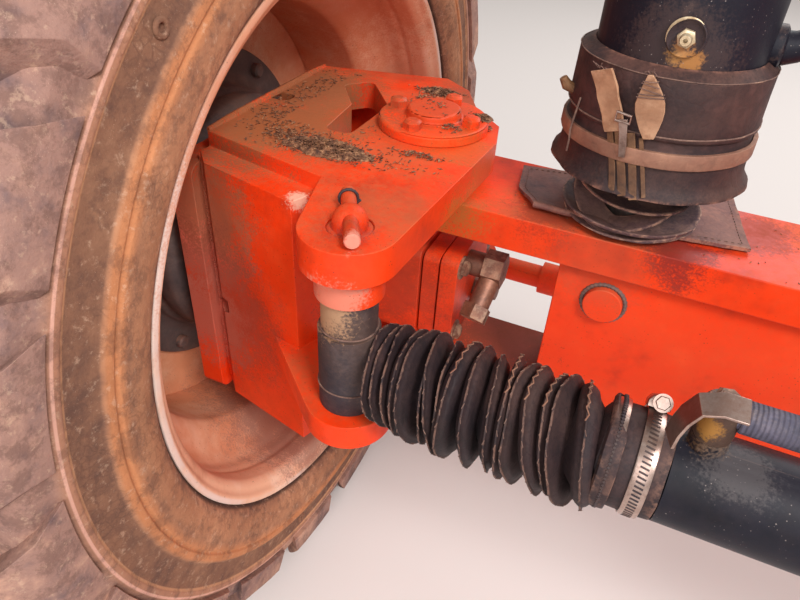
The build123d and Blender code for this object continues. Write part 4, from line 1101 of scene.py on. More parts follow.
def add_gaiter(hand, sizes):
    rng = random.Random(41 + SIGNS[hand])
    start = GAITER_MOUTH + 49.0
    end = GAITER_EYE - 1.0
    peak = sizes.gaiter_radius / MM
    steps = 56
    rows = []
    seams = []

    def ring(centre_x, radius, lean=(0, 0), drop=0.0, uneven=0.0, sharp=0.0, ragged=0.055):
        points = []
        for angle in angles(steps):
            wobble = waver(angle, 1.4, uneven)
            reach = radius * (1 + ragged * wobble) + sharp * max(0.0, -math.cos(angle)) ** 3
            high_part = reach * math.cos(angle)
            side_part = reach * math.sin(angle)
            x = centre_x + lean[0] * high_part + lean[1] * side_part + 1.4 * wobble * reach / 50
            points.append((x, PIN_Y + side_part, ROD_Z + high_part - drop))
        return points

    for along, radius in ((0.5, 41.4), (10, 42.0), (30, 42.0), (44, 41.6), (48, 39.0)):
        rows.append(ring(GAITER_MOUTH + along, radius, uneven=along * 0.03, ragged=0.01))
    for centre, width in gaiter_rings(rng, int(sizes.gaiter_discs), start, end):
        loose = max(0.0, (end - centre) / (end - start))
        lean = (rng.uniform(0.0, 0.2) + 0.16 * loose, rng.uniform(-0.12, 0.12))
        drop = 0.6 + 3.4 * loose * rng.uniform(0.4, 1.0)
        uneven = centre * 0.17
        radius = min(peak - 4.0 + 5.0 * rng.random() + 2.0 * loose, 41.0 + 34.0 * loose)
        tip = 4.5 * loose
        near = 27.0 + 4 * rng.random()
        bulge = width * 0.42
        half_lean = (lean[0] * 0.5, lean[1] * 0.5)
        rows.append(ring(centre - width * 0.47, near, half_lean, drop * 0.3, uneven))
        section = (
            (-bulge, 0.76, 0.0, 0.0, 0.7), (-bulge * 0.80, 0.90, 0.0, 0.2, 1.0), (-bulge * 0.5, 0.97, -1.0, 0.6, 1.0),
            (-0.9, 1.0, -0.6, 0.8, 1.0), (-0.7, 1.0, 1.8, 1.0, 1.0), (0.7, 1.0, 1.8, 1.0, 1.0),
            (0.9, 1.0, -0.6, 0.8, 1.0),
            (bulge * 0.5, 0.97, -1.0, 0.6, 1.0), (bulge * 0.80, 0.90, 0.0, 0.2, 1.0), (bulge, 0.76, 0.0, 0.0, 0.7))
        for along, share, extra, point, sag in section:
            rows.append(ring(centre + along, radius * share + extra, lean, drop * sag, uneven, tip * point))
        seams.append((centre, radius + 1.9, lean, drop, uneven, tip))
    rows.append(ring(GAITER_EYE - 0.6, 27.0))
    rows.append(ring(GAITER_EYE - 0.6, 22.2))
    rows.append(ring(GAITER_MOUTH + 60, 22.2))
    rows.append(ring(GAITER_MOUTH + 50, 37.4, ragged=0.0))
    rows.append(ring(GAITER_MOUTH + 0.5, 37.4, ragged=0.0))
    shape = Shape(hand)
    shape.grid(rows, wrap_rows=True, wrap_columns=True)
    flap = []
    for along, radius, recede in (
            (49, 42.4, 0), (47.5, 45.4, 0), (42, 46.4, 4), (35, 45.8, 10), (34.2, 45.3, 10.5), (35, 44.9, 10),
            (42, 45.3, 4), (46.6, 44.8, 0), (48, 42.4, 0)):
        row = []
        for step, (x, y, z) in enumerate(ring(GAITER_MOUTH + along, radius, uneven=2.0, ragged=0.006)):
            bare = min(1.0, max(0.0, 5 * (math.cos(math.tau * step / steps - 0.3) - 0.72)))
            row.append((x + recede * bare, y, z))
        flap.append(row)
    shape.grid(flap, wrap_rows=True, wrap_columns=True)
    gaiter = shape.put("gaiter_discs", "gaiter", None, "gaiter", slot="gaiter_hide", smooth=50)
    stitches = Shape(hand)
    for seam in seams:
        line = [Vector(point) for point in ring(*seam)]
        for step in range(0, steps, 2):
            here = line[step]
            away = line[(step + 1) % steps]
            across = Vector((1.0 if step % 4 else -1.0, 0, 0))
            stitches.tube([here - across, here.lerp(away, 0.8) + across * 0.4], 0.4, 4)
    sewn = stitches.put("gaiter_stitches", "thread", None, weld=False)
    hems = Shape(hand)
    for number in (0, 2, 3, 5, 8):
        seam = seams[number]
        line = [Vector(point) for point in ring(*seam)]
        for step in range(-4, 5 + number % 3):
            swing = Vector((1.3 if step % 2 else -1.3, 0, 0))
            hems.tube([line[step % steps] - swing, line[(step + 1) % steps] + swing], 0.6, 5)
    hemmed = hems.put("gaiter_hems", "strap", None, weld=False)
    for piece in (gaiter, sewn, hemmed):
        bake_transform(piece)


def add_clamps(hand):
    shape = Shape(hand)
    radius = BAND_R
    bands = ((GAITER_MOUTH + 16.7, 14.0), (GAITER_MOUTH + 40.7, 10.0))
    for centre, width in bands:
        half = width / 2
        section = [(-half, radius), (half, radius), (half, radius + 1.3), (half - 1.2, radius + 1.8),
                   (-half + 1.2, radius + 1.8), (-half, radius + 1.3)]
        shape.turned(section, (centre, PIN_Y, ROD_Z), steps=96)
    centre, width = bands[0]
    tilt = Matrix.Rotation(math.radians(BAND_TURN), 3, "X")
    house = Vector((centre, PIN_Y, ROD_Z)) + tilt @ up_by(radius + 1.6)
    out = tilt @ up_by(1)
    ahead = tilt @ Vector((0, 1, 0))
    arch = [(-9, 0), (-9, 5), (-6, 9.5), (0, 11), (6, 9.5), (9, 5), (9, 0)]
    rows = []
    for along in (-11, -9.5, 9.5, 11):
        pinch = 0.9 if abs(along) > 10 else 1.0
        rows.append([house + ahead * along + Vector((x * pinch, 0, 0)) + out * (z * pinch) for x, z in arch])
    shape.grid(rows, wrap_columns=True)
    shape.add([rows[0][i] for i in range(7)], [list(range(7))])
    shape.add([rows[3][i] for i in range(7)], [list(range(7))])
    shape.disc([(10, 4.6), (25, 4.6), (25.5, 6.2), (31, 6.2), (32.5, 5)], house + out * 6, -ahead, 6)
    shape.disc([(30, 7.2), (31.5, 7.2)], house + out * 6, -ahead, 20)
    tail_path = []
    tail_up = []
    for step in range(7):
        angle = math.radians(BAND_TURN - 10 - step * 7)
        lift = 1.8 + 0.7 * step
        reach = radius + lift
        tail_path.append((centre + 0.5 * step, PIN_Y - math.sin(angle) * reach, ROD_Z + math.cos(angle) * reach))
        tail_up.append(Vector((0, -math.sin(angle), math.cos(angle))))
    shape.strip(tail_path, tail_up, width - 1, 0.9)
    shape.put("gaiter_bands", "clamp", "barrel", "gaiter_clamps", slot="clamp_steel", smooth=40)
    slots = Shape(hand)
    for angle in angles(72):
        out = Vector((0, math.sin(angle), math.cos(angle)))
        along = Vector((0.25, math.cos(angle), -math.sin(angle))).normalized()
        spot = Vector((centre, PIN_Y, ROD_Z)) + out * (radius + 1.85)
        slots.strip(
            [spot - Vector((3.2, 0, 0)) - along * 0.6, spot + Vector((3.2, 0, 0)) + along * 0.6], [out, out], 1.5, 0.25)
    for angle in angles(96):
        out = Vector((0, math.sin(angle), math.cos(angle)))
        spot = Vector((bands[1][0], PIN_Y, ROD_Z)) + out * (radius + 1.6)
        slots.disc([(0, 2.2), (2.6, 1.3)], spot, out, 4)
    slots.put("gaiter_band_slots", "pin", "barrel")


def add_hose(hand):
    box_low = low("barrel_hose_right")
    box_high = high("barrel_hose_right")
    start = Vector((box_high.x - 8, PIN_Y, box_low.z))
    end = Vector((box_low.x + 8, PIN_Y, box_low.z))
    top = box_high.z - 8
    count = 30
    path = [Vector((start.x + (end.x - start.x) * step / count, PIN_Y, top)) for step in range(count + 1)]
    shape = Shape(hand)
    shape.tube(path, [9.8 + (0.3 if index % 2 else 0.0) for index in range(count + 1)], 20)
    shape.disc([(12, 11.6), (14, 12.4), (66, 12.4), (68, 11.6)], path[0], (-1, 0, 0), 28)
    shape.disc([(12, 11.6), (14, 12.4), (40, 12.4), (42, 11.6)], path[-1], (1, 0, 0), 28)
    shape.put("barrel_line", "hose", "barrel", "barrel_hose", slot="hose_rubber", smooth=60)
    ends = Shape(hand)
    rise = top - box_low.z
    for spot in (start, end):
        ends.disc([(-1, 13.4), (3, 14.0), (rise + 7, 14.0), (rise + 9, 12.4)], spot, (0, 0, 1), 40)
        ends.bolt(spot + up_by(rise + 8.6), (0, 0, 1), 17.0, 7.0, washer=False)
    ends.put("hose_ends", "fitting", "barrel")
    bar = Shape(hand)
    places = ((27, -22, 2), (26, -21, 14), (23, -20, 26), (17, -19, 38), (4, -18, 43), (-12, -17, 42))
    plate = [start + Vector(offset) for offset in places]
    up = ((1, -0.3, 0), (1, -0.3, 0.1), (1, -0.3, 0.3), (0.8, -0.3, 0.8), (0.1, -0.3, 1), (0, -0.3, 1))
    bar.strip(plate, up, 20, 2.6)
    bar.put("hose_plate", "clamp", "barrel", bevel=0.6)


# Lockout cylinder

def add_lockout(hand):
    softened("lockout_barrel_" + hand, "black", "black_paint", 2.0, 3)
    painted("lockout_rod_" + hand, "rod")
    bleed = Vector((LOCK_X - 4, LOCK_Y - LOCK_R + 4, 314))
    shape = Shape(hand)
    dish = [(0, 5), (0, 14.6), (6.0, 14.6), (7.6, 13.6), (6.4, 12.0), (5.4, 9), (5.2, 5)]
    shape.turned(soften(dish, 1.0, 3), bleed, (0, -1, 0), 56)
    inner = Vector((LOCK_X - LOCK_R + 3, LOCK_Y + 6, 300))
    shape.disc([(0, 18), (9, 18), (11, 15)], inner, (-1, 0, 0), 32)
    bend = [inner + Vector((-x, 0.2 * z, z)) for x, z in ((4, 0), (12, 0.4), (20, 2.4), (28, 6), (36, 11), (43, 17))]
    shape.tube(bend, [13.4, 13.4, 12.2, 11.6, 12.4, 12.2], 20)
    shape.put("lockout_ports", "black", "lockout", "lockout_fittings", slot="fitting_steel")
    nipple = Shape(hand)
    nipple.disc([(4.4, 7.0), (9.4, 7.0), (10.2, 5.8)], bleed, (0, -1, 0), 6, 0.2)
    nipple.turned([(8, 1.7), (8, 4.8), (14, 4.4), (15.5, 3.8), (15.5, 1.7)], bleed, (0, -1, 0), 20)
    # painted highlight: a pale arc along the upper rim of the bleed dish, in the nipple's pale steel
    highlight_arc = []
    for step in range(15):
        angle = math.radians(-40 + 150 * step / 14)
        highlight_arc.append(bleed + Vector((14.1 * math.sin(angle), -6.6, 14.1 * math.cos(angle))))
    nipple.tube(highlight_arc, [0.25 + 0.95 * math.sin(math.pi * step / 14) for step in range(15)], 6)
    nipple.put("bleed_nipple_and_highlight", "nipple", "lockout")
    top = Shape(hand)
    flange_top = high("lockout_barrel_right").z - 0.2
    for x in (-70, 70):
        for y in (-70, 70):
            spot = (LOCK_X + x, LOCK_Y + y, flange_top)
            top.turned([(0, 9.0), (0, 15), (1.4, 15), (1.4, 9.0)], spot, (0, 0, 1), 32)
    top.put("flange_washers", "fitting", "lockout")


# The boot's section as (height over its flare, radius, unevenness), outside downwards and then inside
BOOT_SECTION = (
    (106, 69.2, 0.2), (104.5, 72, 0.5), (102, 76, 0.8), (100.2, 78.6, 0.9), (99.6, 79.8, 0.9), (98.2, 80.2, 0.9),
    (78, 80.4, 0.9), (64, 80.6, 0.8),
    (53.5, 81.0, 0.7), (51.5, 80.2, 0.6), (50.5, 78.4, 0.6), (43.5, 78.2, 0.6), (42, 79.0, 0.6),
    (41, 80.6, 0.7), (30, 80.8, 0.9), (20, 81.4, 1.1), (12, 82.8, 1.4), (7, 85.4, 1.7), (4, 88.2, 1.9), (2, 88.4, 1.9),
    (0.6, 85.0, 1.8), (6, 80.6, 1.2), (20, 77.0, 0.6), (36, 74.0, 0.3), (50, 70.2, 0.1),
)
# Torn tabs: turn at foot and head, heights, widths from foot to head, how far the head stands off
TABS = (
    (-70, -58, 52, 98, (17, 18, 18.5, 19, 19.5, 20, 20, 20.5), 9.0),
    (-89, -82, 53, 103, (8, 14, 19, 22, 22, 17, 11, 4), 5.0),
)
# Lacing strips: turn at head and foot, heights, width
LACES = (
    (-65, -78, 58, 5, 5.4), (-71, -84, 56, 3, 6.8), (-79, -90, 54, 2, 6.4), (-85, -95, 52, 6, 3.4),
    (97, 96, 50, 6, 4.5), (104, 104, 48, 4, 4.5),
)
# Bowls on the beam: height share, radius, lean, shift, rise of the rim
BOWLS = (
    (0.07, 64, (0.03, -0.02), (2, -3), 8.0), (0.15, 62, (-0.04, 0.12), (1, -2), 4.0),
    (0.30, 58, (0.12, 0.28), (-5, -4), 3.0), (0.42, 52, (-0.24, 0.30), (10, -4), 3.0),
    (0.64, 54, (0.06, 0.10), (0, 2), 4.0), (0.85, 50, (-0.03, 0.0), (0, 0), 3.0),
)


def spoke(angle):
    """Level direction at an angle in radians."""
    return Vector((math.cos(angle), math.sin(angle), 0))


def boot_ring(radius, height, seed, rough=1.2, sway=0.0, steps=72):
    """One uneven level ring of the boot."""
    points = []
    for angle in angles(steps):
        bump = waver(angle, 1.6, seed)
        fold = waver(angle, 6, seed * 0.5)
        reach = radius + rough * (bump * 1.6 + fold * 0.9)
        level = height + sway * math.cos(angle) + rough * bump
        points.append((LOCK_X + reach * math.cos(angle), LOCK_Y + reach * math.sin(angle), level))
    return points


def add_boot(hand):
    base = BOOT_LOW
    shape = Shape(hand)
    rows = [boot_ring(radius, base + lift, 3.0 + lift * 0.02, rough) for lift, radius, rough in BOOT_SECTION]
    shape.grid(rows, wrap_rows=True, wrap_columns=True)
    shape.put("boot_sleeve", "boot", "lockout", "boot_collar", slot="boot_hide", smooth=50)
    straps = Shape(hand)
    rows = []
    for offset, radius in ((-6.5, 79.8), (-6.5, 83.6), (-5.5, 84.0), (5.5, 83.6), (6.5, 83.2), (6.5, 79.8)):
        rows.append(boot_ring(radius, base + BOOT_STRAP_LIFT + offset, 5.0, 0.9, -1.5))
    straps.grid(rows, wrap_rows=True, wrap_columns=True)
    straps.put("boot_straps", "strap", "lockout", bevel=0.5)
    ties = Shape(hand)
    path = boot_ring(80.9, base + 55, 3.0 + 55 * 0.02, 0.8, -1.0, 96)
    ties.tube(path, 0.8, 6, closed=True)
    at = math.radians(-38)
    out = spoke(at)
    loose_end = [Vector((LOCK_X, LOCK_Y, base + lift)) + out * reach for lift, reach in (
        (64, 82.0), (56, 83.0), (46, 84.4), (36, 85.4), (26, 84.4), (16, 84.6))]
    ties.tube(loose_end, 0.9, 6)
    ties.put("boot_tie", "thread", "lockout")
    tabs = Shape(hand)
    for foot, head, low_lift, high_lift, spread, proud in TABS:
        path = []
        ups = []
        widths = []
        for step, width in enumerate(spread):
            t = step / (len(spread) - 1)
            bend = math.radians(foot + (head - foot) * t)
            out = spoke(bend)
            reach = 82.6 + proud * t ** 1.4 + 0.8 * math.sin(step * 2.1)
            path.append(Vector((LOCK_X, LOCK_Y, base + low_lift + (high_lift - low_lift) * t)) + out * reach)
            ups.append(out)
            widths.append(width)
        tabs.strip(path, ups, widths, 2.4)
        last_tab = (path, ups, widths)
    tabs.put("boot_tabs", "tab", "lockout", bevel=0.5)
    frays = Shape(hand)
    rng = random.Random(19)
    for _, head, _, high_lift, spread, proud in TABS:
        at = math.radians(head)
        out = spoke(at)
        across = Vector((-math.sin(at), math.cos(at), 0))
        top = Vector((LOCK_X, LOCK_Y, base + high_lift)) + out * (83.4 + proud)
        for _ in range(9):
            begin = top + across * rng.uniform(-0.4, 0.4) * spread[-1]
            drift = across * rng.uniform(-7, 7) + out * rng.uniform(-1, 3)
            tip = begin + drift + up_by(rng.uniform(0, 6))
            frays.tube([begin, begin + drift * 0.5 + up_by(2), tip], 0.35, 4)
    path, ups, widths = last_tab
    for along in (4.6, 4.9, 5.3, 5.9, 6.3):
        step = int(along)
        spot = path[step].lerp(path[step + 1], along - step)
        half = (widths[step] + (widths[step + 1] - widths[step]) * (along - step)) / 2 + 0.8
        out = ups[step]
        across = Vector((-out.y, out.x, 0.12 * (1 if step % 2 else -1)))
        frays.tube([spot + across * x * half + out * y for x, y in (
            (-1, -0.8), (-1, 2.6), (0, 3.2), (1, 2.6), (1, -0.8), (0, -1.0), (-1, -0.8))], 0.45, 5)
    rim = boot_ring(80.2, base + 99.9, 3.0 + 99.6 * 0.02, 0.9)
    frays.tube(rim, 0.5, 6, closed=True)
    frays.put("tab_threads", "thread", "lockout")
    laces = Shape(hand)
    for top_turn, low_turn, top_lift, low_lift, width in LACES:
        column = []
        ups = []
        for step in range(9):
            t = step / 8
            at = math.radians(top_turn + (low_turn - top_turn) * t)
            out = spoke(at)
            height = base + top_lift + (low_lift - top_lift) * t
            column.append(Vector((LOCK_X, LOCK_Y, height)) + out * (81.2 + 7.0 * t ** 5))
            ups.append(out)
        laces.strip(column, ups, width, 1.8)
    nub = math.radians(-20)
    out = spoke(nub)
    root = Vector((LOCK_X, LOCK_Y, base + 62))
    knob = [root + out * reach + up_by(rise) for reach, rise in ((78, 0), (87, 4), (91, 10))]
    laces.tube(knob, [4.5, 5.0, 3.6], 10)
    laces.put("boot_laces", "lace", "lockout", bevel=0.4)
    prong = Shape(hand)
    at = math.radians(-77)
    out = spoke(at)
    lean = Vector((-math.sin(at), math.cos(at), 0))
    spine = [Vector((LOCK_X, LOCK_Y, base + lift)) + out * reach + lean * slide for lift, reach, slide in (
        (34, 85.0, -1.5), (44, 86.4, -0.5), (54, 88.2, 1.0), (66, 89.6, 3.5))]
    prong.strip(spine, [out] * 4, [5, 6.4, 6.4, 7.6], 1.6)
    buckle_frame = [
        spine[3] + lean * x + out * 1.5 + up_by(z) for x, z in ((-6, -2), (-6, 4), (6, 5), (6, -2))]
    prong.tube(buckle_frame, 1.3, 6, closed=True)
    prong.put("boot_buckle", "clamp", "lockout", bevel=0.3)


def add_boot_discs(hand):
    """Sagged hide bowls that lie on each other, with turned-up rims."""
    box_low = low("boot_discs_right")
    tall = high("boot_discs_right").z - box_low.z
    centre = middle("boot_discs_right")
    shape = Shape(hand)
    for number, (share, radius, lean, shift, curl) in enumerate(BOWLS):
        rows = []
        bowl = (
            (30.0, 0.0), (radius * 0.62, 0.6), (radius * 0.84, curl * 0.35), (radius * 0.95, curl * 0.8),
            (radius, curl), (radius + 1.4, curl - 0.4), (radius + 0.8, curl - 2.6), (radius * 0.93, curl * 0.5 - 2.4),
            (radius * 0.8, -2.0), (radius * 0.6, -2.4), (30.0, -2.4))
        for reach, rise in bowl:
            row = []
            for angle in angles(72):
                bump = waver(angle, 1.7, number * 2.2)
                extent = reach * (1 + 0.05 * bump * reach / 60)
                x = extent * math.cos(angle) + shift[0] * reach / 70
                y = extent * math.sin(angle) + shift[1] * reach / 70
                height = box_low.z + tall * share + rise + lean[0] * x + lean[1] * y + bump * 2.4 * reach / 70
                row.append((centre.x + x, centre.y + y, max(height, box_low.z + 0.4 + (rise + 2.6) * 0.4)))
            rows.append(row)
        shape.grid(rows, wrap_rows=True, wrap_columns=True)
    # the bowls take the boot's hide painted lighter, as painted light
    shape.put("boot_folds", "folds_painted_lighter", "axle", "boot_discs", slot="boot_hide", smooth=50)


MAT_LENGTH = 216.0
MAT_WIDTH = 108.0


def add_mat(hand):
    """Stitched hide mat, lying on the beam with one curled corner."""
    centre = middle("mat_right")
    turn = Matrix.Rotation(math.radians(-10), 3, "Z")
    columns = 48
    lines = 26
    thick = 3.4

    def surface(u, v, top):
        x = (u - 0.5) * MAT_LENGTH
        y = (v - 0.5) * MAT_WIDTH
        rise = 1.6 * noise.noise(Vector((x * 0.035, y * 0.035, 2.0))) + 0.6
        corner = max(0.0, (u - 0.58) / 0.42) * max(0.0, (0.5 - v) / 0.5)
        front = max(0.0, 1 - v / 0.16) * (0.35 + 0.65 * u)
        rise += 5.4 * corner ** 1.2 + 2.6 * front
        ragged = 1.5 * noise.noise(Vector((x * 0.09, 4.0, v * 2)))
        spot = turn @ Vector((x - 18 * corner, y + 16 * corner + ragged * max(0.0, 1 - 3 * v), 0))
        height = min(BEAM_TOP + 0.6 + max(0.0, rise) + top, PLATE_UNDER - 5.4)
        return Vector((centre.x + spot.x, centre.y + spot.y, height))

    shape = Shape(hand)
    rows = []
    for v_index in range(lines + 1):
        rows.append([surface(u / columns, v_index / lines, thick) for u in range(columns + 1)])
    under = [[point - up_by(thick) for point in row] for row in rows]
    shape.grid(rows)
    shape.grid([list(reversed(row)) for row in under])
    rims = []
    for sheet in (rows, under):
        right_edge = [row[-1] for row in sheet[1:]]
        left_edge = [row[0] for row in reversed(sheet)][1:-1]
        rims.append(sheet[0] + right_edge + list(reversed(sheet[-1]))[1:] + left_edge)
    shape.grid(rims, wrap_columns=True)
    roll = [rows[0][u] + Vector((0, 1.0, -thick * 0.5)) for u in range(14, columns + 1)]
    shape.tube(roll, [min(3.4, 1.4 + 0.09 * step + 0.5 * math.sin(step * 1.3)) for step in range(len(roll))], 8)
    mat = shape.put("beam_mat", "mat", "axle", "mat", slot="mat_hide", smooth=60)
    hem = Shape(hand)
    corners = ((0.03, 0.06), (0.97, 0.06), (0.97, 0.94), (0.03, 0.94))
    for index, (u0, v0) in enumerate(corners):
        u1, v1 = corners[(index + 1) % 4]
        count = 34 if abs(u1 - u0) > 0.5 else 18
        for step in range(count):
            ends = []
            for t in ((step + 0.2) / count, (step + 0.65) / count):
                ends.append(surface(u0 + (u1 - u0) * t, v0 + (v1 - v0) * t, thick + 0.15))
            hem.tube([ends[0], ends[0].lerp(ends[1], 0.5) + up_by(0.3), ends[1]], 0.45, 5)
    stitched = hem.put("mat_hem", "thread", "axle", weld=False)


# Middle of the axle

def add_beam():
    softened("axle_beam", "orange", "orange_paint", 2.2, 3)
    for hand in SIGNS:
        rim = Shape(hand)
        path = [(LOCK_X + PLUG_R * math.cos(a), PLUG_Y, PLUG_Z + PLUG_R * math.sin(a)) for a in angles(96)]
        rim.tube(path, [2.2 + 0.4 * math.sin(step * 2.1) for step in range(96)], 8, closed=True)
        rim.put("plug_weld", "drive", "axle")
    softened("cylinder_bracket", "orange", "orange_paint", 2.0)
    softened("barrel_pins", "drive", "drive_black", 1.4)
    softened("tie_rod", "orange", "orange_paint", 1.6)
    painted("pivot_bush", "bronze")


# Loose dirt

# Piles as (x, y, reach in x, reach in y, flakes, height); the high ones get a mound under their flakes
MOUND = 3.0
PILES = (
    (858, -108, 47, 19, 1000, 8.5), (822, 96, 24, 10, 320, 5.0), (746, 18, 12, 9, 140, 4.0),
    (905, -96, 30, 18, 220, 1.0), (822, 84, 26, 20, 120, 1.0), (780, -76, 22, 6, 130, 2.0),
    (766, -24, 10, 9, 60, 3.0), (KINGPIN_X, 2, 16, 14, 30, 0.5), (818, 40, 12, 10, 60, 2.0),
    (945, 30, 34, 60, 240, 0.6), (940, -60, 36, 40, 240, 0.6), (885, -75, 60, 40, 120, 0.4),
    (800, -100, 40, 20, 60, 0.4),
)


# Parts of the knuckle's top as (least x, most x, least y, most y), and the beam's length and half width
PLATE_AREA = (735, 978, -128, 105)
PLATE_SLOT = (853, 935, -66, 92)
BEAM_SPAN = (300, 700)
BEAM_HALF = 58


def inside(x, y, area):
    return area[0] < x < area[1] and area[2] < y < area[3]


def plate_level(x, y):
    """Height of the knuckle's top, its round flange and cap included."""
    from_pin = math.hypot(x - KINGPIN_X, y)
    return CAP_TOP if from_pin < 27 else PLATE_TOP + FLANGE_TALL if from_pin < CAP_R else PLATE_TOP


def add_mound(shape, x, y, reach_x, reach_y, tall):
    """Low closed heap that the flakes of a pile lie on."""
    rows = []
    base = plate_level(x, y)
    for share in (0.0, 0.16, 0.32, 0.48, 0.62, 0.75, 0.87, 0.96, 1.0, 1.0, 0.0):
        row = []
        flat = len(rows) > 8
        for angle in angles(56):
            wander = waver(angle, 1.8, x)
            px = x + reach_x * share * (1 + 0.25 * wander) * math.cos(angle)
            py = y + reach_y * share * (1 + 0.25 * wander) * math.sin(angle)
            lump = 0.6 + 0.9 * noise.noise(Vector((px * 0.11, py * 0.16, 5.0)))
            lump += 0.5 * noise.noise(Vector((px * 0.4, py * 0.4, 1.0)))
            lift = -0.2 if flat else max(0.15, tall * (1 - share * share) ** 0.7 * max(0.2, lump))
            row.append((px, py, base + lift))
        rows.append(row)
    shape.grid(rows, wrap_columns=True)


def add_chaff(hand, sizes):
    """Dry flakes and straws lying on the knuckle's top plate and the beam."""
    rng = random.Random(90 + SIGNS[hand])
    mounds = Shape(hand)
    plate = Shape(hand)
    beam = Shape(hand)

    def flake(shape, x, y, z, size):
        turn = rng.uniform(0, math.tau)
        lean = rng.uniform(-0.5, 0.5)
        length = size * rng.uniform(0.8, 2.6)
        width = size * rng.uniform(0.25, 0.7)
        ahead = Vector((math.cos(turn), math.sin(turn), lean * 0.5)) * length
        across = Vector((-math.sin(turn), math.cos(turn), rng.uniform(-0.3, 0.3))) * width
        spot = Vector((x, y, z + 0.4 + abs(ahead.z) * 0.5))
        shape.add([
            spot - ahead * 0.5, spot - across * 0.5 + up_by(width * 0.3),
            spot + ahead * 0.5, spot + across * 0.5, spot - up_by(0.6),
        ], [[0, 1, 2, 3], [1, 0, 4], [2, 1, 4], [3, 2, 4], [0, 3, 4]])

    for x, y, spread_x, spread_y, count, heap in PILES:
        if heap > MOUND:
            add_mound(mounds, x, y, spread_x * 0.95, spread_y * 0.95, heap)
        for _ in range(int(count * sizes.chaff)):
            px = rng.gauss(x, spread_x * 0.55)
            py = rng.gauss(y, spread_y * 0.55)
            if inside(px, py, PLATE_SLOT) or not inside(px, py, PLATE_AREA):
                continue
            off = math.hypot((px - x) / spread_x, (py - y) / spread_y)
            flake(plate, px, py, plate_level(px, py) + heap * max(0.0, 1 - off * off) * rng.uniform(0.3, 1.0), 2.6)
    for _ in range(int(110 * sizes.chaff)):
        flake(beam, rng.uniform(*BEAM_SPAN), rng.uniform(-BEAM_HALF, BEAM_HALF), BEAM_TOP, 1.8)
    mounds.put("chaff_mounds", "chaff", "steer", smooth=60)
    plate.put("chaff", "chaff", "steer", weld=False)
    beam.put("beam_chaff", "chaff", "axle", weld=False)


# Stage

# The camera's lens and sensor in millimetres, its place in metres and its directions
LENS = 29.63
SENSOR = 36.0
CAMERA_AT = (-0.5685, -0.6179, 0.4408)
CAMERA_RIGHT = Vector((0.91128, 0.40875, 0.04983))
CAMERA_UP = Vector((-0.28258, 0.53274, 0.79770))
CAMERA_AHEAD = Vector((-0.29952, 0.74102, -0.60098))
FLOOR_REACH = 30.0


def add_stage(sizes):
    scene = bpy.context.scene
    floor = bpy.data.meshes.new("floor")
    ends = ((-1, -1), (1, -1), (1, 1), (-1, 1))
    corners = [(x * FLOOR_REACH, y * FLOOR_REACH, -TYRE_R * MM) for x, y in ends]
    floor.from_pydata(corners, [], [[0, 1, 2, 3]])
    sheet = bpy.data.objects.new("floor", floor)
    scene.collection.objects.link(sheet)
    paint = bpy.data.materials.new("Pale floor")
    paint.use_nodes = True
    shader = paint.node_tree.nodes["Principled BSDF"]
    shader.inputs["Base Color"].default_value = colour(214, 206, 202)
    shader.inputs["Roughness"].default_value = 0.9
    floor.materials.append(paint)
    world = bpy.data.worlds.new("Studio")
    scene.world = world
    world.use_nodes = True
    background = world.node_tree.nodes["Background"]
    background.inputs["Color"].default_value = (1.0, 0.98, 0.96, 1.0)
    background.inputs["Strength"].default_value = sizes.sky_strength
    for name, place_at, aim, energy, size in (
            ("key", (1.6, -2.2, 3.2), (-0.8, -0.1, 0.1), sizes.key_power, 1.1),
            ("fill", (-0.6, -3.4, 1.6), (-0.8, 0.0, 0.0), sizes.fill_power, 2.6),
            ("back", (0.6, 3.2, 2.4), (-0.6, 0.0, 0.0), sizes.back_power, 2.2)):
        lamp = bpy.data.lights.new(name, "AREA")
        lamp.energy = energy
        lamp.size = size
        holder = bpy.data.objects.new(name, lamp)
        holder.location = place_at
        aimed = Vector(aim) - Vector(place_at)
        holder.rotation_euler = aimed.to_track_quat("-Z", "Y").to_euler()
        scene.collection.objects.link(holder)
    camera = bpy.data.cameras.new("camera")
    camera.lens = LENS
    camera.sensor_width = SENSOR
    camera.clip_end = 100.0
    eye = bpy.data.objects.new("camera", camera)
    turn = Matrix((CAMERA_RIGHT, CAMERA_UP, -CAMERA_AHEAD)).transposed().to_4x4()
    eye.matrix_world = Matrix.Translation(CAMERA_AT) @ turn
    scene.collection.objects.link(eye)
    scene.camera = eye
    scene.view_settings.view_transform = "Standard"


# Settings, operators and panel

class AxleSizes(bpy.types.PropertyGroup):
    """Sizes that a user of the axle would change."""
    lug_count: bpy.props.IntProperty(name="Tread bars", description="Bars on each half of a tyre", default=20, min=8)
    lug_depth: bpy.props.FloatProperty(
        name="Tread depth", description="Height of the bars over the crown", default=0.030, unit="LENGTH")
    lug_draft: bpy.props.FloatProperty(
        name="Bar draft", description="How far a bar's sides lean in at the top", default=0.005, unit="LENGTH")
    gaiter_discs: bpy.props.IntProperty(
        name="Gaiter discs", description="Stitched discs of each rod gaiter", default=17, min=6)
    gaiter_radius: bpy.props.FloatProperty(
        name="Gaiter radius", description="Outer radius of the gaiter's discs", default=0.0485, unit="LENGTH")
    chaff: bpy.props.FloatProperty(
        name="Chaff", description="Share of the dry flakes that lie on the axle", default=1.0, subtype="FACTOR")
    sky_strength: bpy.props.FloatProperty(name="Sky", description="Strength of the even studio light", default=0.55)
    key_power: bpy.props.FloatProperty(name="Key", description="Power of the main lamp", default=170.0, unit="POWER")
    fill_power: bpy.props.FloatProperty(name="Fill", description="Power of the front lamp", default=60.0, unit="POWER")
    back_power: bpy.props.FloatProperty(name="Back", description="Power of the rear lamp", default=70.0, unit="POWER")


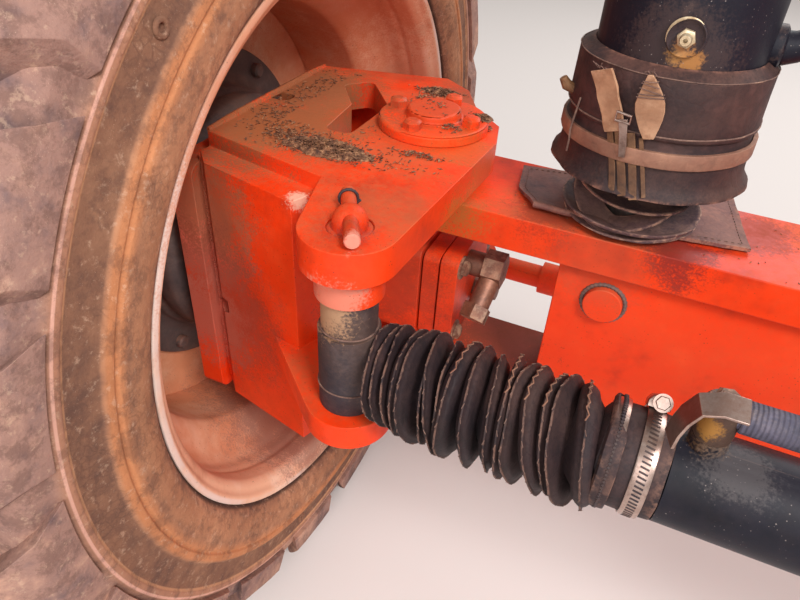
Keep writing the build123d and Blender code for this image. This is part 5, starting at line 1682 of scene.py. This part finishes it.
class AxleColours(bpy.types.PropertyGroup):
    """Paint colours of the axle's frame parts."""
    paint: bpy.props.FloatVectorProperty(
        name="Paint", description="Main colour of the orange parts", subtype="COLOR", default=colour(232, 58, 14)[:3])
    paint_light: bpy.props.FloatVectorProperty(
        name="Sunned paint", description="Paint where it has bleached", subtype="COLOR",
        default=colour(240, 72, 26)[:3])
    paint_dark: bpy.props.FloatVectorProperty(
        name="Soiled paint", description="Paint where dirt has stained it", subtype="COLOR",
        default=colour(192, 46, 18)[:3])


def settings():
    return bpy.context.scene.axle_sizes


class AXLE_OT_finishes(bpy.types.Operator):
    """Make the shader groups and every material of the axle"""
    bl_idname = "axle.finishes"
    bl_label = "Make finishes"

    def execute(self, context):
        build_groups()
        build_materials(context.scene.axle_colours)
        return {"FINISHED"}


class AXLE_OT_wheels(bpy.types.Operator):
    """Build both tyres, rims and hubs"""
    bl_idname = "axle.wheels"
    bl_label = "Build wheels"

    def execute(self, context):
        random.seed(3)
        for hand in SIGNS:
            add_tyre(hand, settings())
            add_rim(hand)
            add_hub(hand)
        return {"FINISHED"}


class AXLE_OT_knuckles(bpy.types.Operator):
    """Dress both steering knuckles with kingpins, pins and drive motors"""
    bl_idname = "axle.knuckles"
    bl_label = "Build knuckles"

    def execute(self, context):
        random.seed(5)
        noise.seed_set(5)
        for hand in SIGNS:
            add_knuckle(hand)
            add_motor(hand)
        return {"FINISHED"}


class AXLE_OT_cylinders(bpy.types.Operator):
    """Build both steering cylinders with gaiters, bands and lines"""
    bl_idname = "axle.cylinders"
    bl_label = "Build steering cylinders"

    def execute(self, context):
        for hand in SIGNS:
            add_rod(hand)
            add_gaiter(hand, settings())
            add_clamps(hand)
            softened("steer_barrel_" + hand, "black", "black_paint", 2.2, 3)
            add_hose(hand)
        return {"FINISHED"}


class AXLE_OT_lockouts(bpy.types.Operator):
    """Build both lockout cylinders with their boots and mats"""
    bl_idname = "axle.lockouts"
    bl_label = "Build lockout cylinders"

    def execute(self, context):
        for hand in SIGNS:
            add_lockout(hand)
            add_boot(hand)
            add_boot_discs(hand)
            add_mat(hand)
        return {"FINISHED"}


class AXLE_OT_beam(bpy.types.Operator):
    """Dress the beam, cylinder bracket, pins and tie rod"""
    bl_idname = "axle.beam"
    bl_label = "Build beam"

    def execute(self, context):
        add_beam()
        return {"FINISHED"}


class AXLE_OT_dirt(bpy.types.Operator):
    """Scatter dry chaff over the plates"""
    bl_idname = "axle.dirt"
    bl_label = "Scatter chaff"

    def execute(self, context):
        for hand in SIGNS:
            add_chaff(hand, settings())
        return {"FINISHED"}


class AXLE_OT_stage(bpy.types.Operator):
    """Set the floor, lamps and camera"""
    bl_idname = "axle.stage"
    bl_label = "Set stage"

    def execute(self, context):
        add_stage(settings())
        return {"FINISHED"}


OPERATORS = (
    AXLE_OT_finishes, AXLE_OT_wheels, AXLE_OT_knuckles, AXLE_OT_cylinders, AXLE_OT_lockouts, AXLE_OT_beam, AXLE_OT_dirt,
    AXLE_OT_stage)


class AXLE_PT_panel(bpy.types.Panel):
    """Lists the axle's builders in the sidebar"""
    bl_idname = "AXLE_PT_panel"
    bl_label = "Steered drive axle"
    bl_space_type = "VIEW_3D"
    bl_region_type = "UI"
    bl_category = "Axle"

    def draw(self, context):
        for operator in OPERATORS:
            self.layout.operator(operator.bl_idname)


CLASSES = (AxleSizes, AxleColours) + OPERATORS + (AXLE_PT_panel,)


def register():
    for item in CLASSES:
        bpy.utils.register_class(item)
    bpy.types.Scene.axle_sizes = bpy.props.PointerProperty(type=AxleSizes)
    bpy.types.Scene.axle_colours = bpy.props.PointerProperty(type=AxleColours)


def unregister():
    del bpy.types.Scene.axle_colours
    del bpy.types.Scene.axle_sizes
    for item in reversed(CLASSES):
        bpy.utils.unregister_class(item)


def main():
    register()
    for operator in OPERATORS:
        family, name = operator.bl_idname.split(".")
        getattr(getattr(bpy.ops, family), name)()
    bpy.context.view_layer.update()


if __name__ == "__main__":
    main()
